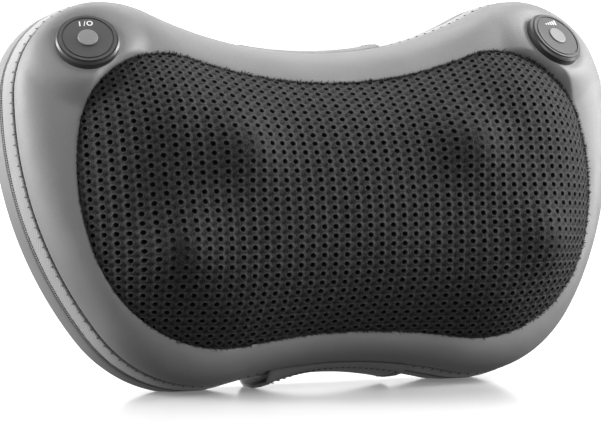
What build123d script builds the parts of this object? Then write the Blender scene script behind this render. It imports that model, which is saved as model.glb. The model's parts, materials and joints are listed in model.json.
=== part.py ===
from build123d import *
import os
from collections import namedtuple
from math import asin, atan2, cos, pi, radians, sin, sqrt, tan

# Shiatsu neck massager: a dog-bone pillow with a mesh front, four kneading heads on two rotors,
# and one motor that turns both rotors through a worm.  Millimetres.
# Everything is drawn in the pillow's own frame: +X to the right, +Y to the back, +Z up,
# with the origin in the plane of the front seam.  At the end the whole pillow is leaned
# back onto its two lower lobes and stood on z = 0.

# ---------------------------------------------------------------- pillow
LEAN = 10.5            # degrees that it leans back when it stands
HALF_WIDTH = 160.0     # widest half, at the front seam
BACK_Y = 38.0          # outer face of the back panel
STRIP_FLARE = 1.2      # how far the side strip stands outside the seam
STRIP_DEPTH = 12.0     # woven strip, front seam to zip tape
ZIP_WIDTH = 4.0
BACK_ROUND = 14.0      # shoulder radius of the back panel
COVER_DEPTH = 19.0     # front seam to the edge of the mesh
MESH_RISE = 28.0       # mesh edge to the top of the dome
DOME_REACH = 70.0      # distance over which the dome rises
DOME_POWER = 3.2
COVER_T = 2.0          # leatherette
STRIP_T = 1.8
MESH_T = 3.0           # spacer mesh
LINING_T = 0.8
PAD_GAP = 0.4          # between neighbouring soft pieces
PAD_REBATE = 1.5       # front padding stands outside the mesh edge
FOOT_CUT = 1.4         # how far the lower lobes are pressed flat
LOW_CORNER_Z = -28.7
LOW_CORNER_R = 64.2

Outline = namedtuple("Outline", "top_x top_z top_r low_x low_z low_r waist_top waist_low side_r")
SEAM = Outline(HALF_WIDTH - 48.5, 44.9, 47.2, HALF_WIDTH - 87.2, LOW_CORNER_Z, LOW_CORNER_R,
               66.5, -84.3, 174.7)
MESH = Outline(HALF_WIDTH - 70.0, 18.7, 46.0, HALF_WIDTH - 92.3, -10.8, 67.1, 49.4, -72.2, 110.9)

# ---------------------------------------------------------------- strap, zip pull
STRAP_HALF = 36.0
STRAP_T = 2.0
STRAP_OFF = 1.3        # clear of the zip teeth
TEETH_WIDTH = 2.2
TEETH_PROUD = 0.6
PULL_Z = -16.0         # height of the zip slider on the right side
SLIDER = (9.0, 6.0, 2.4)
PULL_LENGTH = 14.0
PULL_WIDTH = 4.4
PULL_T = 1.2
PULL_BAR_R = 0.7

# ---------------------------------------------------------------- housing
ROTOR_X = 67.0
ROTOR_Z = -8.5
WALL = 2.5
DECK_FRONT = -5.0      # front face of the deck
BACK_PAD_T = 2.4
WHEEL_ROOM = 2.5       # wheel tips to the wall
HOUSING_BEVEL = 3.0
BOX_HALF = 30.0        # middle box of the housing
BOX_TOP = 58.0
BOX_LOW = -79.0
LUG_R = 4.0
SCREW_R = 1.5
SCREW_HEAD_R = 3.0
SCREW_HEAD_T = 1.8
SCREW_LENGTH = 14.0
POST_ASIDE = 8.0       # side of the motor to the inner screw posts
POST_TOP_Z = 52.0
POST_LOW_Z = -73.0
RUN = 0.05             # radial clearance of a shaft in its bush
GAP = 0.3              # clearance between pieces that don't touch

# ---------------------------------------------------------------- gears
WORM_Y = 14.5          # depth of the worm and of the wheels' mid-plane
WORM_R = 9.0           # pitch radius
WHEEL_TEETH = 60
WHEEL_FACE = 8.0
THREAD_T = 2.0         # worm thread, along the axis at the pitch radius
TOOTH_T = 3.0          # wheel tooth at the pitch radius
FLANK = 20.0           # degrees
WORM_LENGTH = 30.0
HUB_R = 11.0
HUB_LENGTH = 16.0
SHAFT_R = 4.0
BUSH_T = 2.0
BUSH_LENGTH = 6.0
BUSH_BOSS_T = 3.0

# ---------------------------------------------------------------- motor
MOTOR_R = 14.0
MOTOR_TOP = -39.0
CAN_LENGTH = 30.0
CAN_T = 1.2
CAP_LENGTH = 4.0
MOTOR_SHAFT_R = 2.5
ARMATURE_R = 8.0
MAGNET_T = 2.8
CLAMP_T = 1.8
CLAMP_Z = -57.0
CLAMP_WIDTH = 6.0
CLAMP_POST_GAP = 2.2   # clamp ring to the heads of its screws
CLAMP_POST_X = MOTOR_R + CLAMP_T + SCREW_HEAD_R + CLAMP_POST_GAP
WORM_BUSH_Z = 9.0

# ---------------------------------------------------------------- rotors and heads
ORBIT_R = 31.0         # rotor axis to head axis
HEAD_TILT = 38.0       # degrees between a rotor's pair of heads and the vertical
HEAD_R = 19.5          # at this size the heads clear the lining all the way round
HEAD_WALL = 3.0
HEAD_SKIRT = 3.8
HEAD_BASE_Y = -12.8
AXLE_R = 3.0
HUB_BOSS = 11.0
ARM_T = 5.0
ARM_GAP = 1.0          # arm to head

# ---------------------------------------------------------------- control pods
POD_X = HALF_WIDTH - 33.3
POD_Y = -19.2
POD_Z = 71.7
POD_OUT = 16.0         # degrees that a pod faces outward
POD_UP = 30.4          # degrees that it faces upward
POD_R = 15.2
POD_LIP = 1.5          # rim of the base round the face disc
POD_FACE_R = POD_R - POD_LIP
POD_FACE_T = 1.4
POD_DEPTH = 10.0
POD_WALL = 2.2
BUTTON_R = 4.75
BUTTON_FIT = 0.2
BUTTON_PROUD = 0.7
BUTTON_TRAVEL = 0.6
SWITCH = (6.0, 6.0, 3.1)

# ---------------------------------------------------------------- power inlet, circuit board, leads
INLET_X = 98.0
INLET_Z = -36.0
INLET_R = 5.5
INLET_BORE_R = 3.2
INLET_PIN_R = 1.0
BOARD = (34.0, 32.0, 1.6)
BOARD_Z = 32.0
BOARD_Y = 22.5
PLUG_T = 3.8           # lead connectors on the board
LEAD_R = 1.1
LEAD_Y = 15.0          # depth of the pod leads between the housing and the cover
LEAD_DROP_X = 12.0     # where they enter the housing

# ---------------------------------------------------------------- values that follow
POST_X = MOTOR_R + POST_ASIDE
FLOOR_BACK = BACK_Y - COVER_T - BACK_PAD_T - 2 * GAP
FLOOR_IN = FLOOR_BACK - WALL
DECK_BACK = DECK_FRONT + WALL
WHEEL_R = ROTOR_X - WORM_R
MODULE = 2 * WHEEL_R / WHEEL_TEETH
LEAD = pi * MODULE
TIP_R = WHEEL_R + 0.95 * MODULE
CASE_R = TIP_R + WHEEL_ROOM + WALL
LUG_AT = CASE_R + 0.25 * LUG_R
ARM_FRONT = HEAD_BASE_Y + ARM_GAP
ARM_BACK = ARM_FRONT + ARM_T
ZIP_FRONT = STRIP_DEPTH
ZIP_BACK = STRIP_DEPTH + ZIP_WIDTH
CAN_LOW = MOTOR_TOP - CAN_LENGTH
CAP_LOW = CAN_LOW - CAP_LENGTH
PLUG_Y = BOARD_Y - PLUG_T / 2
UP = (Align.CENTER, Align.CENTER, Align.MIN)
SIDES = {"left": -1, "right": 1}

parts = {}


def depth_frame(x, y, z):
    """Local frame whose x and y run along X and Z, and whose z points to the front."""
    return Plane(origin=(x, y, z), x_dir=(1, 0, 0), z_dir=(0, -1, 0))


def slab(face, y_front, y_back):
    """A flat shape in x and z, made solid between two depths."""
    return extrude(depth_frame(0, y_back, 0) * face, amount=y_back - y_front, dir=(0, -1, 0))


def disc(radius, x, z, y_front, y_back):
    """A round bar along Y."""
    return depth_frame(x, y_back, z) * Cylinder(radius, y_back - y_front, align=UP)


def hollow_radius(across, rise, radius):
    """Radius of the waist arc on x = 0 that runs tangent into a corner arc, across and below it."""
    return (across**2 + rise**2 - radius**2) / (2 * (radius - rise))


def toward(a, b, distance):
    return a + (b - a) / abs(b - a) * distance


def side_centre(top, low, to_top, to_low):
    """Centre of the side arc, at given distances from the two corner centres."""
    apart = abs(low - top)
    along = (to_top**2 - to_low**2 + apart**2) / (2 * apart)
    step = (low - top) / apart
    return top + step * (along - 1j * sqrt(to_top**2 - along**2))


def outline(o, grow=0.0):
    """Dog-bone face of eight tangent arcs in local x and z; points are x + iz."""
    top, low = complex(o.top_x, o.top_z), complex(o.low_x, o.low_z)
    top_r, low_r, side_r = o.top_r + grow, o.low_r + grow, o.side_r + grow
    waist_top, waist_low = o.waist_top + grow, o.waist_low - grow
    upper_r = hollow_radius(top.real, waist_top - top.imag, top_r)
    lower_r = hollow_radius(low.real, low.imag - waist_low, low_r)
    upper, lower = complex(0, waist_top + upper_r), complex(0, waist_low - lower_r)
    side = side_centre(top, low, side_r - top_r, side_r - low_r)
    joins = [toward(upper, top, upper_r), toward(side, top, side_r),
             toward(side, low, side_r), toward(lower, low, lower_r)]
    arcs = [arc_between(top, top_r, joins[0], joins[1]),
            arc_between(side, side_r, joins[1], joins[2]),
            arc_between(low, low_r, joins[2], joins[3])]
    edges = [ThreePointArc(*[(p.real, p.imag) for p in arc]) for arc in arcs]
    edges += [ThreePointArc(*[(-p.real, p.imag) for p in arc]) for arc in arcs]
    for join, waist in ((joins[0], waist_top), (joins[3], waist_low)):
        edges.append(ThreePointArc((-join.real, join.imag), (0, waist), (join.real, join.imag)))
    return Face(Wire(edges))


def arc_between(centre, radius, start, end):
    """Start, middle and end of the shorter arc about a centre."""
    return start, toward(centre, (start + end) / 2, radius), end


def mix(a, b, share):
    return Outline(*(p + (q - p) * share for p, q in zip(a, b)))


# ---------------------------------------------------------------- soft cover
def shoulder(inset, y_shift, front):
    """Leatherette shoulder from the seam to the mesh edge, as a solid down to the seam plane."""
    last = radians(75)
    sections = [depth_frame(0, 0.0 if y_shift == 0 else 0.01, 0) * outline(SEAM, -inset)]
    for angle in (0.34 * last, 0.67 * last, last):
        share = (1 - cos(angle)) / (1 - cos(last))
        y = -front * sin(angle) / sin(last) + y_shift * sin(angle)
        sections.append(depth_frame(0, y, 0) * outline(mix(SEAM, MESH, share), -inset * cos(angle)))
    return loft(sections)


def dome(sink):
    """Mesh dome as a solid, its surface sunk by a distance."""
    sections = []
    for reach in (0.0, 7.0, 17.0, 30.0, 43.0):
        rise = MESH_RISE * (1 - (1 - reach / DOME_REACH) ** DOME_POWER)
        slope = atan2(MESH_RISE * DOME_POWER * (1 - reach / DOME_REACH) ** (DOME_POWER - 1), DOME_REACH)
        y = -COVER_DEPTH - rise + sink * cos(slope)
        inset = PAD_GAP + reach + sink * sin(slope)
        sections.append(depth_frame(0, y, 0) * outline(MESH, -inset))
    return loft(sections)


def back_body(grow, y_back, rounding):
    """Whole back half: the seam outline carried back, with a rounded back edge."""
    body = slab(outline(SEAM, grow), 0, y_back)
    return fillet(body.edges().group_by(Axis.Y)[-1], rounding)


def pod_frame(side):
    """Local frame of a control pod: origin on its face, z along its outward normal."""
    out, up = radians(POD_OUT), radians(POD_UP)
    normal = (side * sin(out) * cos(up), -cos(out) * cos(up), sin(up))
    return Plane(origin=(side * POD_X, POD_Y, POD_Z), x_dir=(cos(out), side * sin(out), 0), z_dir=normal)


def pod_hole(radius):
    return [pod_frame(side) * Pos(0, 0, -30) * Cylinder(radius, 60, align=UP) for side in SIDES.values()]


def make_front():
    cover = shoulder(0, 0, COVER_DEPTH) - shoulder(COVER_T, COVER_T, COVER_DEPTH)
    cover -= slab(outline(MESH), -COVER_DEPTH - 5, 5)
    parts["front_cover"] = cover - pod_hole(POD_R + GAP)
    padding = shoulder(COVER_T + GAP, COVER_T + GAP, COVER_DEPTH)
    padding -= slab(outline(MESH, PAD_REBATE), -COVER_DEPTH - 5, 5)
    room = DECK_FRONT - SCREW_HEAD_T - PAD_GAP
    padding -= slab(housing_face(2 * PAD_GAP), room, 5)
    padding -= [slab(face, room, 5) for face in lug_faces(LUG_R + 2 * PAD_GAP)]
    padding -= pod_channels()
    parts["front_padding"] = padding - pod_hole(POD_R + COVER_T)
    parts["mesh_panel"] = dome(0) - dome(MESH_T)
    parts["inner_lining"] = dome(MESH_T + GAP) - dome(MESH_T + GAP + LINING_T)


def make_back():
    strip = outline(SEAM, STRIP_FLARE) - outline(SEAM, STRIP_FLARE - STRIP_T)
    parts["side_strip"] = slab(strip, PAD_GAP, ZIP_FRONT)
    tape = outline(SEAM, STRIP_FLARE) - outline(SEAM, STRIP_FLARE - STRIP_T / 2)
    parts["zip_tape"] = slab(tape, ZIP_FRONT, ZIP_BACK)
    middle = (ZIP_FRONT + ZIP_BACK) / 2
    teeth = outline(SEAM, STRIP_FLARE + TEETH_PROUD) - outline(SEAM, STRIP_FLARE)
    parts["zip_teeth"] = slab(teeth, middle - TEETH_WIDTH / 2, middle + TEETH_WIDTH / 2)
    shell = back_body(STRIP_FLARE, BACK_Y, BACK_ROUND)
    shell -= back_body(STRIP_FLARE - COVER_T, BACK_Y - COVER_T, BACK_ROUND - COVER_T)
    shell -= slab(outline(SEAM, STRIP_FLARE + 5), -1, ZIP_BACK)
    parts["back_panel"] = shell - disc(INLET_R + 0.1, INLET_X, INLET_Z, 0, BACK_Y + 5)
    reach = STRIP_FLARE + STRAP_OFF
    strap = back_body(reach + STRAP_T, BACK_Y + GAP + STRAP_T, BACK_ROUND + STRAP_T)
    strap -= back_body(reach, BACK_Y + GAP, BACK_ROUND)
    parts["back_strap"] = strap & Pos(0, BACK_Y / 2, 0) * Box(2 * STRAP_HALF, 4 * BACK_Y, 400)
    inner = STRIP_FLARE - COVER_T - PAD_GAP
    pad = back_body(inner, BACK_Y - COVER_T - PAD_GAP, BACK_ROUND - COVER_T - PAD_GAP)
    pad -= slab(housing_face(2 * PAD_GAP), -1, BACK_Y)
    pad -= slab(outline(SEAM, 5), -1, PAD_GAP)
    pad -= [slab(face, -1, BACK_Y) for face in lug_faces(LUG_R + 2 * PAD_GAP)]
    parts["side_padding"] = pad - pod_channels()
    back_pad = slab(housing_face(-2 * HOUSING_BEVEL), FLOOR_BACK + GAP, BACK_Y - COVER_T - GAP)
    parts["back_padding"] = back_pad - disc(INLET_R + 0.1, INLET_X, INLET_Z, 0, BACK_Y)


# ---------------------------------------------------------------- housing
def housing_face(grow):
    """Two wheel cases and the middle box between them, in local x and z."""
    height = BOX_TOP - BOX_LOW + 2 * grow
    face = Pos(0, (BOX_TOP + BOX_LOW) / 2) * Rectangle(2 * (BOX_HALF + grow), height)
    for side in SIDES.values():
        face += Pos(side * ROTOR_X, ROTOR_Z) * Circle(CASE_R + grow)
    return face


def outer_lugs():
    spots = []
    for side in SIDES.values():
        spots += [(side * (ROTOR_X + LUG_AT), ROTOR_Z), (side * ROTOR_X, ROTOR_Z + LUG_AT),
                  (side * ROTOR_X, ROTOR_Z - LUG_AT)]
    return spots


def inner_posts():
    return [(side * POST_X, z) for side in SIDES.values() for z in (POST_TOP_Z, POST_LOW_Z)]


def lug_faces(radius):
    return [Pos(x, z) * Circle(radius) for x, z in outer_lugs()]


def make_housing():
    rear = slab(housing_face(0), DECK_BACK, FLOOR_BACK)
    rear = chamfer(rear.edges().group_by(Axis.Y)[-1], HOUSING_BEVEL)
    rear -= slab(housing_face(-WALL), DECK_BACK - 1, FLOOR_IN)
    rear -= Pos(0, WORM_Y, CAP_LOW - GAP) * Cylinder(MOTOR_R + GAP, MOTOR_TOP - CAP_LOW + 2 * GAP, align=UP)
    rear += [disc(LUG_R, x, z, DECK_BACK, FLOOR_IN) for x, z in outer_lugs() + inner_posts()]
    for side in SIDES.values():
        x = side * ROTOR_X
        boss_r = SHAFT_R + RUN + BUSH_T + BUSH_BOSS_T
        rear += disc(boss_r, x, ROTOR_Z, FLOOR_IN - BUSH_LENGTH, FLOOR_IN)
        rear -= disc(SHAFT_R + RUN + BUSH_T, x, ROTOR_Z, FLOOR_IN - BUSH_LENGTH, FLOOR_IN)
        rear += disc(LUG_R - 0.5, side * CLAMP_POST_X, CLAMP_Z, WORM_Y, FLOOR_IN)
        for dz in (-1, 1):
            x_post, z_post = side * (BOARD[0] / 2 - 3), BOARD_Z + dz * (BOARD[1] / 2 - 3)
            rear += disc(2.2, x_post, z_post, BOARD_Y + BOARD[2], FLOOR_IN)
    for z in (MOTOR_TOP - 8, CAN_LOW + 6):
        rib = Pos(0, (WORM_Y + FLOOR_IN) / 2, z) * Box(2 * MOTOR_R, FLOOR_IN - WORM_Y, 3)
        rear += rib - Pos(0, WORM_Y, z) * Cylinder(MOTOR_R, 10)
    rear += Pos(0, (WORM_Y - 7 + FLOOR_IN) / 2, WORM_BUSH_Z + 2.5) * Box(18, FLOOR_IN - WORM_Y + 7, 5)
    rear -= Pos(0, WORM_Y, WORM_BUSH_Z) * Cylinder(MOTOR_SHAFT_R + RUN + BUSH_T, 5, align=UP)
    posts = outer_lugs() + inner_posts()
    rear -= [disc(SCREW_R, x, z, DECK_BACK, DECK_FRONT + SCREW_LENGTH) for x, z in posts]
    rear -= [disc(SCREW_R, side * CLAMP_POST_X, CLAMP_Z, WORM_Y, WORM_Y + 8) for side in SIDES.values()]
    for side in SIDES.values():
        entry = Cylinder(LEAD_R + GAP, 4 * WALL, align=UP)
        rear -= Pos(side * LEAD_DROP_X, LEAD_Y, BOX_TOP - 2 * WALL) * entry
    parts["rear_housing"] = rear - disc(INLET_R + 0.1, INLET_X, INLET_Z, 0, BACK_Y)

    deck = slab(housing_face(0), DECK_FRONT, DECK_BACK)
    deck += [disc(LUG_R, x, z, DECK_FRONT, DECK_BACK) for x, z in outer_lugs()]
    for side in SIDES.values():
        bush_r = SHAFT_R + RUN + BUSH_T
        deck += disc(bush_r + BUSH_BOSS_T, side * ROTOR_X, ROTOR_Z, DECK_FRONT, DECK_FRONT + BUSH_LENGTH)
        deck -= disc(bush_r, side * ROTOR_X, ROTOR_Z, DECK_FRONT, DECK_FRONT + BUSH_LENGTH)
    deck -= Pos(0, WORM_Y, CLAMP_Z) * Cylinder(MOTOR_R + CLAMP_T + GAP, CLAMP_WIDTH + 2 * GAP)
    parts["front_deck"] = deck - [disc(SCREW_R, x, z, DECK_FRONT, DECK_BACK) for x, z in posts]
    parts["housing_screws"] = Compound([pan_screw(x, z, DECK_FRONT, SCREW_LENGTH) for x, z in posts])


def pan_screw(x, z, y, length):
    """Pan-head screw seated on a face at depth y, with a cross recess."""
    screw = disc(SCREW_R, x, z, y, y + length - GAP) + disc(SCREW_HEAD_R, x, z, y - SCREW_HEAD_T, y)
    for spin in (0, 90):
        screw -= depth_frame(x, y - SCREW_HEAD_T + 0.5, z) * Rot(0, 0, spin) * Box(3.6, 0.8, 1.0)
    return screw


# ---------------------------------------------------------------- gear train
def wheel_profile():
    """Straight-flanked teeth of the worm wheel, with one tooth centred on local +x."""
    root_r = WHEEL_R - 1.25 * MODULE
    half = TOOTH_T / 2
    tip_half = half - (TIP_R - WHEEL_R) * tan(radians(FLANK))
    root_half = half + (WHEEL_R - root_r) * tan(radians(FLANK))
    points = []
    for tooth in range(WHEEL_TEETH):
        turn = 2 * pi * tooth / WHEEL_TEETH
        for r, across in ((root_r, -root_half), (TIP_R, -tip_half), (TIP_R, tip_half), (root_r, root_half)):
            angle = turn + across / r
            points.append((r * cos(angle), r * sin(angle)))
    return make_face(Polyline(*points, close=True))


def make_wheel(name, side):
    """Worm wheel; the worm's thread meets a space on the right wheel and a tooth on the left."""
    phase = 180 / WHEEL_TEETH if side > 0 else 0
    frame = depth_frame(side * ROTOR_X, WORM_Y + WHEEL_FACE / 2, ROTOR_Z)
    wheel = extrude(frame * Rot(0, 0, phase) * wheel_profile(), amount=WHEEL_FACE)
    wheel += disc(HUB_R, side * ROTOR_X, ROTOR_Z, WORM_Y - HUB_LENGTH / 2, WORM_Y + HUB_LENGTH / 2)
    wheel -= disc(SHAFT_R, side * ROTOR_X, ROTOR_Z, WORM_Y - HUB_LENGTH, WORM_Y + HUB_LENGTH)
    mid_r = (HUB_R + WHEEL_R) / 2
    wheel -= [frame * Rot(0, 0, 60 * n) * Pos(mid_r, 0, 0) * Cylinder(0.3 * mid_r, 40) for n in range(6)]
    parts[name] = wheel


def make_worm():
    """One-start right-hand worm; its thread faces the right wheel at the wheels' height."""
    core_r = WORM_R - 1.25 * MODULE
    top_r = WORM_R + 0.95 * MODULE
    half = THREAD_T / 2
    top_half = half - (top_r - WORM_R) * tan(radians(FLANK))
    core_half = half + (WORM_R - core_r) * tan(radians(FLANK))
    turns = (WORM_LENGTH - 2 * LEAD) // LEAD
    low = ROTOR_Z - LEAD * (turns / 2)
    path = Helix(LEAD, LEAD * turns, WORM_R)
    sunk = core_r - 0.4        # the thread's foot is inside the core
    section = Plane.XZ * make_face(Polyline(
        (sunk, -core_half), (top_r, -top_half), (top_r, top_half), (sunk, core_half), close=True))
    thread = sweep(section, path=path, is_frenet=True)
    start = ROTOR_Z - WORM_LENGTH / 2
    worm = Pos(0, WORM_Y, start) * Cylinder(core_r, WORM_LENGTH, align=UP)
    turned = 0 if turns % 2 == 0 else 180
    worm += Pos(0, WORM_Y, low) * Rot(0, 0, turned) * thread
    parts["worm"] = worm - Pos(0, WORM_Y, start - 1) * Cylinder(MOTOR_SHAFT_R, WORM_LENGTH + 2, align=UP)


def make_motor():
    axis = Pos(0, WORM_Y, 0)
    can = axis * Pos(0, 0, CAN_LOW) * Cylinder(MOTOR_R, CAN_LENGTH, align=UP)
    can -= axis * Pos(0, 0, CAN_LOW) * Cylinder(MOTOR_R - CAN_T, CAN_LENGTH - CAN_T, align=UP)
    can += axis * Pos(0, 0, MOTOR_TOP) * Cylinder(2 * MOTOR_SHAFT_R, 2, align=UP)
    can -= axis * Pos(0, 0, MOTOR_TOP - 5) * Cylinder(MOTOR_SHAFT_R + RUN, 10, align=UP)
    parts["motor_can"] = can
    cap = axis * Pos(0, 0, CAP_LOW) * Cylinder(MOTOR_R, CAP_LENGTH, align=UP)
    cap += axis * Pos(0, 0, CAN_LOW) * Cylinder(MOTOR_R - CAN_T, 3, align=UP)
    cap -= axis * Pos(0, 0, CAP_LOW + 1.5) * Cylinder(MOTOR_SHAFT_R + RUN, 20, align=UP)
    for x in (-7, 7):
        cap += Pos(x, WORM_Y, CAP_LOW - 1) * Box(2.5, 0.8, 2)
    parts["motor_end_cap"] = cap
    ring_r = MOTOR_R - CAN_T
    length = CAN_LENGTH - 10
    magnets = axis * Pos(0, 0, CAN_LOW + 5) * (Cylinder(ring_r, length, align=UP)
                                               - Cylinder(ring_r - MAGNET_T, length, align=UP))
    parts["motor_magnets"] = magnets - axis * Pos(0, 0, CAN_LOW) * Box(6, 60, 80)
    armature = axis * Pos(0, 0, CAP_LOW + 1.8) * Cylinder(
        MOTOR_SHAFT_R, WORM_BUSH_Z + 7 - CAP_LOW - 1.8, align=UP)
    core = Cylinder(ARMATURE_R, length - 2, align=UP)
    core -= [Rot(0, 0, 60 * n) * Pos(ARMATURE_R, 0, 0) * Cylinder(1.6, length, align=UP) for n in range(6)]
    armature += axis * Pos(0, 0, CAN_LOW + 6) * core
    parts["armature"] = armature
    clamp = Pos(0, WORM_Y, CLAMP_Z - CLAMP_WIDTH / 2) * (
        Cylinder(MOTOR_R + CLAMP_T, CLAMP_WIDTH, align=UP) - Cylinder(MOTOR_R, CLAMP_WIDTH, align=UP))
    clamp -= Pos(0, WORM_Y + 30, CLAMP_Z) * Box(60, 60, 20)
    for side in SIDES.values():
        inner, outer = MOTOR_R + CLAMP_T / 2, CLAMP_POST_X + LUG_R
        clamp += Pos(side * (inner + outer) / 2, WORM_Y - 1, CLAMP_Z) * Box(outer - inner, 2, CLAMP_WIDTH)
        clamp -= disc(SCREW_R, side * CLAMP_POST_X, CLAMP_Z, WORM_Y - 3, WORM_Y + 1)
    parts["motor_clamp"] = clamp
    parts["clamp_screws"] = Compound([
        pan_screw(side * CLAMP_POST_X, CLAMP_Z, WORM_Y - 2, 9) for side in SIDES.values()])
    bush = Cylinder(MOTOR_SHAFT_R + RUN + BUSH_T, 5, align=UP) - Cylinder(MOTOR_SHAFT_R + RUN, 5, align=UP)
    parts["worm_bush"] = Pos(0, WORM_Y, WORM_BUSH_Z) * bush


# ---------------------------------------------------------------- rotors
def head_spots(side):
    """Heads stand either side of the rotor axis, tilted so that the two rotors mirror each other."""
    tilt = radians(HEAD_TILT)
    dx, dz = -side * ORBIT_R * sin(tilt), ORBIT_R * cos(tilt)
    x = side * ROTOR_X
    return {"upper": (x + dx, ROTOR_Z + dz), "lower": (x - dx, ROTOR_Z - dz)}


def make_rotor(name, side):
    x = side * ROTOR_X
    bush_r = SHAFT_R + RUN + BUSH_T
    tube = []
    for start in (DECK_FRONT, FLOOR_IN - BUSH_LENGTH):
        end = start + BUSH_LENGTH
        tube.append(disc(bush_r, x, ROTOR_Z, start, end) - disc(SHAFT_R + RUN, x, ROTOR_Z, start, end))
    parts[name + "_bushes"] = Compound(tube)
    shaft = disc(SHAFT_R, x, ROTOR_Z, ARM_FRONT, FLOOR_IN - GAP)
    parts[name + "_shaft"] = shaft - disc(SCREW_R, x, ROTOR_Z, ARM_FRONT, ARM_FRONT + 8)
    make_wheel(name + "_worm_wheel", side)
    turn = 90 + side * HEAD_TILT
    arm_face = Rot(0, 0, turn) * SlotCenterToCenter(2 * ORBIT_R, 17) + Circle(12)
    arm = slab(Pos(x, ROTOR_Z) * arm_face, ARM_FRONT, ARM_BACK)
    arm -= disc(SHAFT_R, x, ROTOR_Z, ARM_FRONT, ARM_BACK)
    axles = []
    for x_head, z_head in head_spots(side).values():
        arm -= disc(AXLE_R, x_head, z_head, ARM_FRONT, ARM_BACK)
        top = HEAD_BASE_Y - HUB_BOSS - GAP
        axles.append(disc(AXLE_R, x_head, z_head, top, ARM_BACK)
                     + disc(AXLE_R + 2, x_head, z_head, HEAD_BASE_Y + 0.1, ARM_FRONT)
                     + disc(AXLE_R + 2.2, x_head, z_head, top - 2, top))
    parts[name + "_arm"] = arm
    parts[name + "_head_axles"] = Compound(axles)
    parts[name + "_arm_screw"] = (disc(7, x, ROTOR_Z, ARM_FRONT - 2, ARM_FRONT)
                                  + disc(SCREW_R, x, ROTOR_Z, ARM_FRONT, ARM_FRONT + 7)
                                  - disc(2.5, x, ROTOR_Z, ARM_FRONT - 3, ARM_FRONT - 0.8))
    for level, (x_head, z_head) in head_spots(side).items():
        make_head(name + "_" + level + "_head", depth_frame(x_head, HEAD_BASE_Y, z_head))


def make_head(name, frame):
    """Kneading head: a hollow dome closed by a hub that spins on its axle."""
    inner_r = HEAD_R - HEAD_WALL
    dome_out = Pos(0, 0, HEAD_SKIRT) * Sphere(HEAD_R, arc_size1=0, align=UP)
    skirt = Cylinder(HEAD_R, HEAD_SKIRT, align=UP)
    skirt = chamfer(skirt.edges().group_by(Axis.Z)[0], 1.2)
    hollow = Pos(0, 0, HEAD_SKIRT) * Sphere(inner_r, arc_size1=0, align=UP)
    hollow += Cylinder(inner_r, HEAD_SKIRT, align=UP)
    parts[name + "_cap"] = frame * (dome_out + skirt - hollow)
    hub = Cylinder(inner_r, HEAD_SKIRT - 0.8, align=UP) + Cylinder(2 * AXLE_R, HUB_BOSS, align=UP)
    parts[name + "_hub"] = frame * (hub - Cylinder(AXLE_R + RUN, HUB_BOSS, align=UP))


# ---------------------------------------------------------------- control pods
def make_pod(name, side):
    frame = pod_frame(side)
    base = Pos(0, 0, -POD_DEPTH) * Cylinder(POD_R, POD_DEPTH - POD_FACE_T / 2, align=UP)
    base = chamfer(base.edges().group_by(Axis.Z)[-1], 0.8)
    base -= Pos(0, 0, -POD_DEPTH + 1.5) * Cylinder(POD_R - POD_WALL, POD_DEPTH, align=UP)
    base -= Pos(0, 0, -POD_FACE_T) * Cylinder(POD_FACE_R, POD_DEPTH, align=UP)
    base -= Pos(0, 0, -POD_DEPTH) * Cylinder(LEAD_R, 2, align=UP)
    parts[name + "_pod_base"] = frame * base
    face = Pos(0, 0, -POD_FACE_T) * Cylinder(POD_FACE_R, POD_FACE_T, align=UP)
    groove = Cylinder(POD_FACE_R - 1.2, 1, align=UP) - Cylinder(POD_FACE_R - 2.0, 1, align=UP)
    face -= Pos(0, 0, -0.5) * groove
    parts[name + "_pod_face"] = frame * (face - Pos(0, 0, -3) * Cylinder(BUTTON_R + BUTTON_FIT, 6, align=UP))
    switch_top = -POD_DEPTH + 1.5 + SWITCH[2]
    plunger = 0.8
    switch = Pos(0, 0, -POD_DEPTH + 1.5) * Box(*SWITCH, align=UP)
    switch += Pos(0, 0, switch_top) * Cylinder(1.7, plunger, align=UP)
    parts[name + "_pod_switch"] = frame * switch
    button = Pos(0, 0, -POD_FACE_T - 0.9) * Cylinder(BUTTON_R, POD_FACE_T + 0.9 + BUTTON_PROUD, align=UP)
    button = fillet(button.edges().group_by(Axis.Z)[-1], 0.4)
    button += Pos(0, 0, -POD_FACE_T - 1.0) * Cylinder(BUTTON_R + 1.2, 0.9, align=UP)
    stem_low = switch_top + plunger + BUTTON_TRAVEL + 0.1
    button += Pos(0, 0, stem_low) * Cylinder(1.5, -POD_FACE_T - 1.0 - stem_low, align=UP)
    parts[name + "_button"] = frame * button


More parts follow.
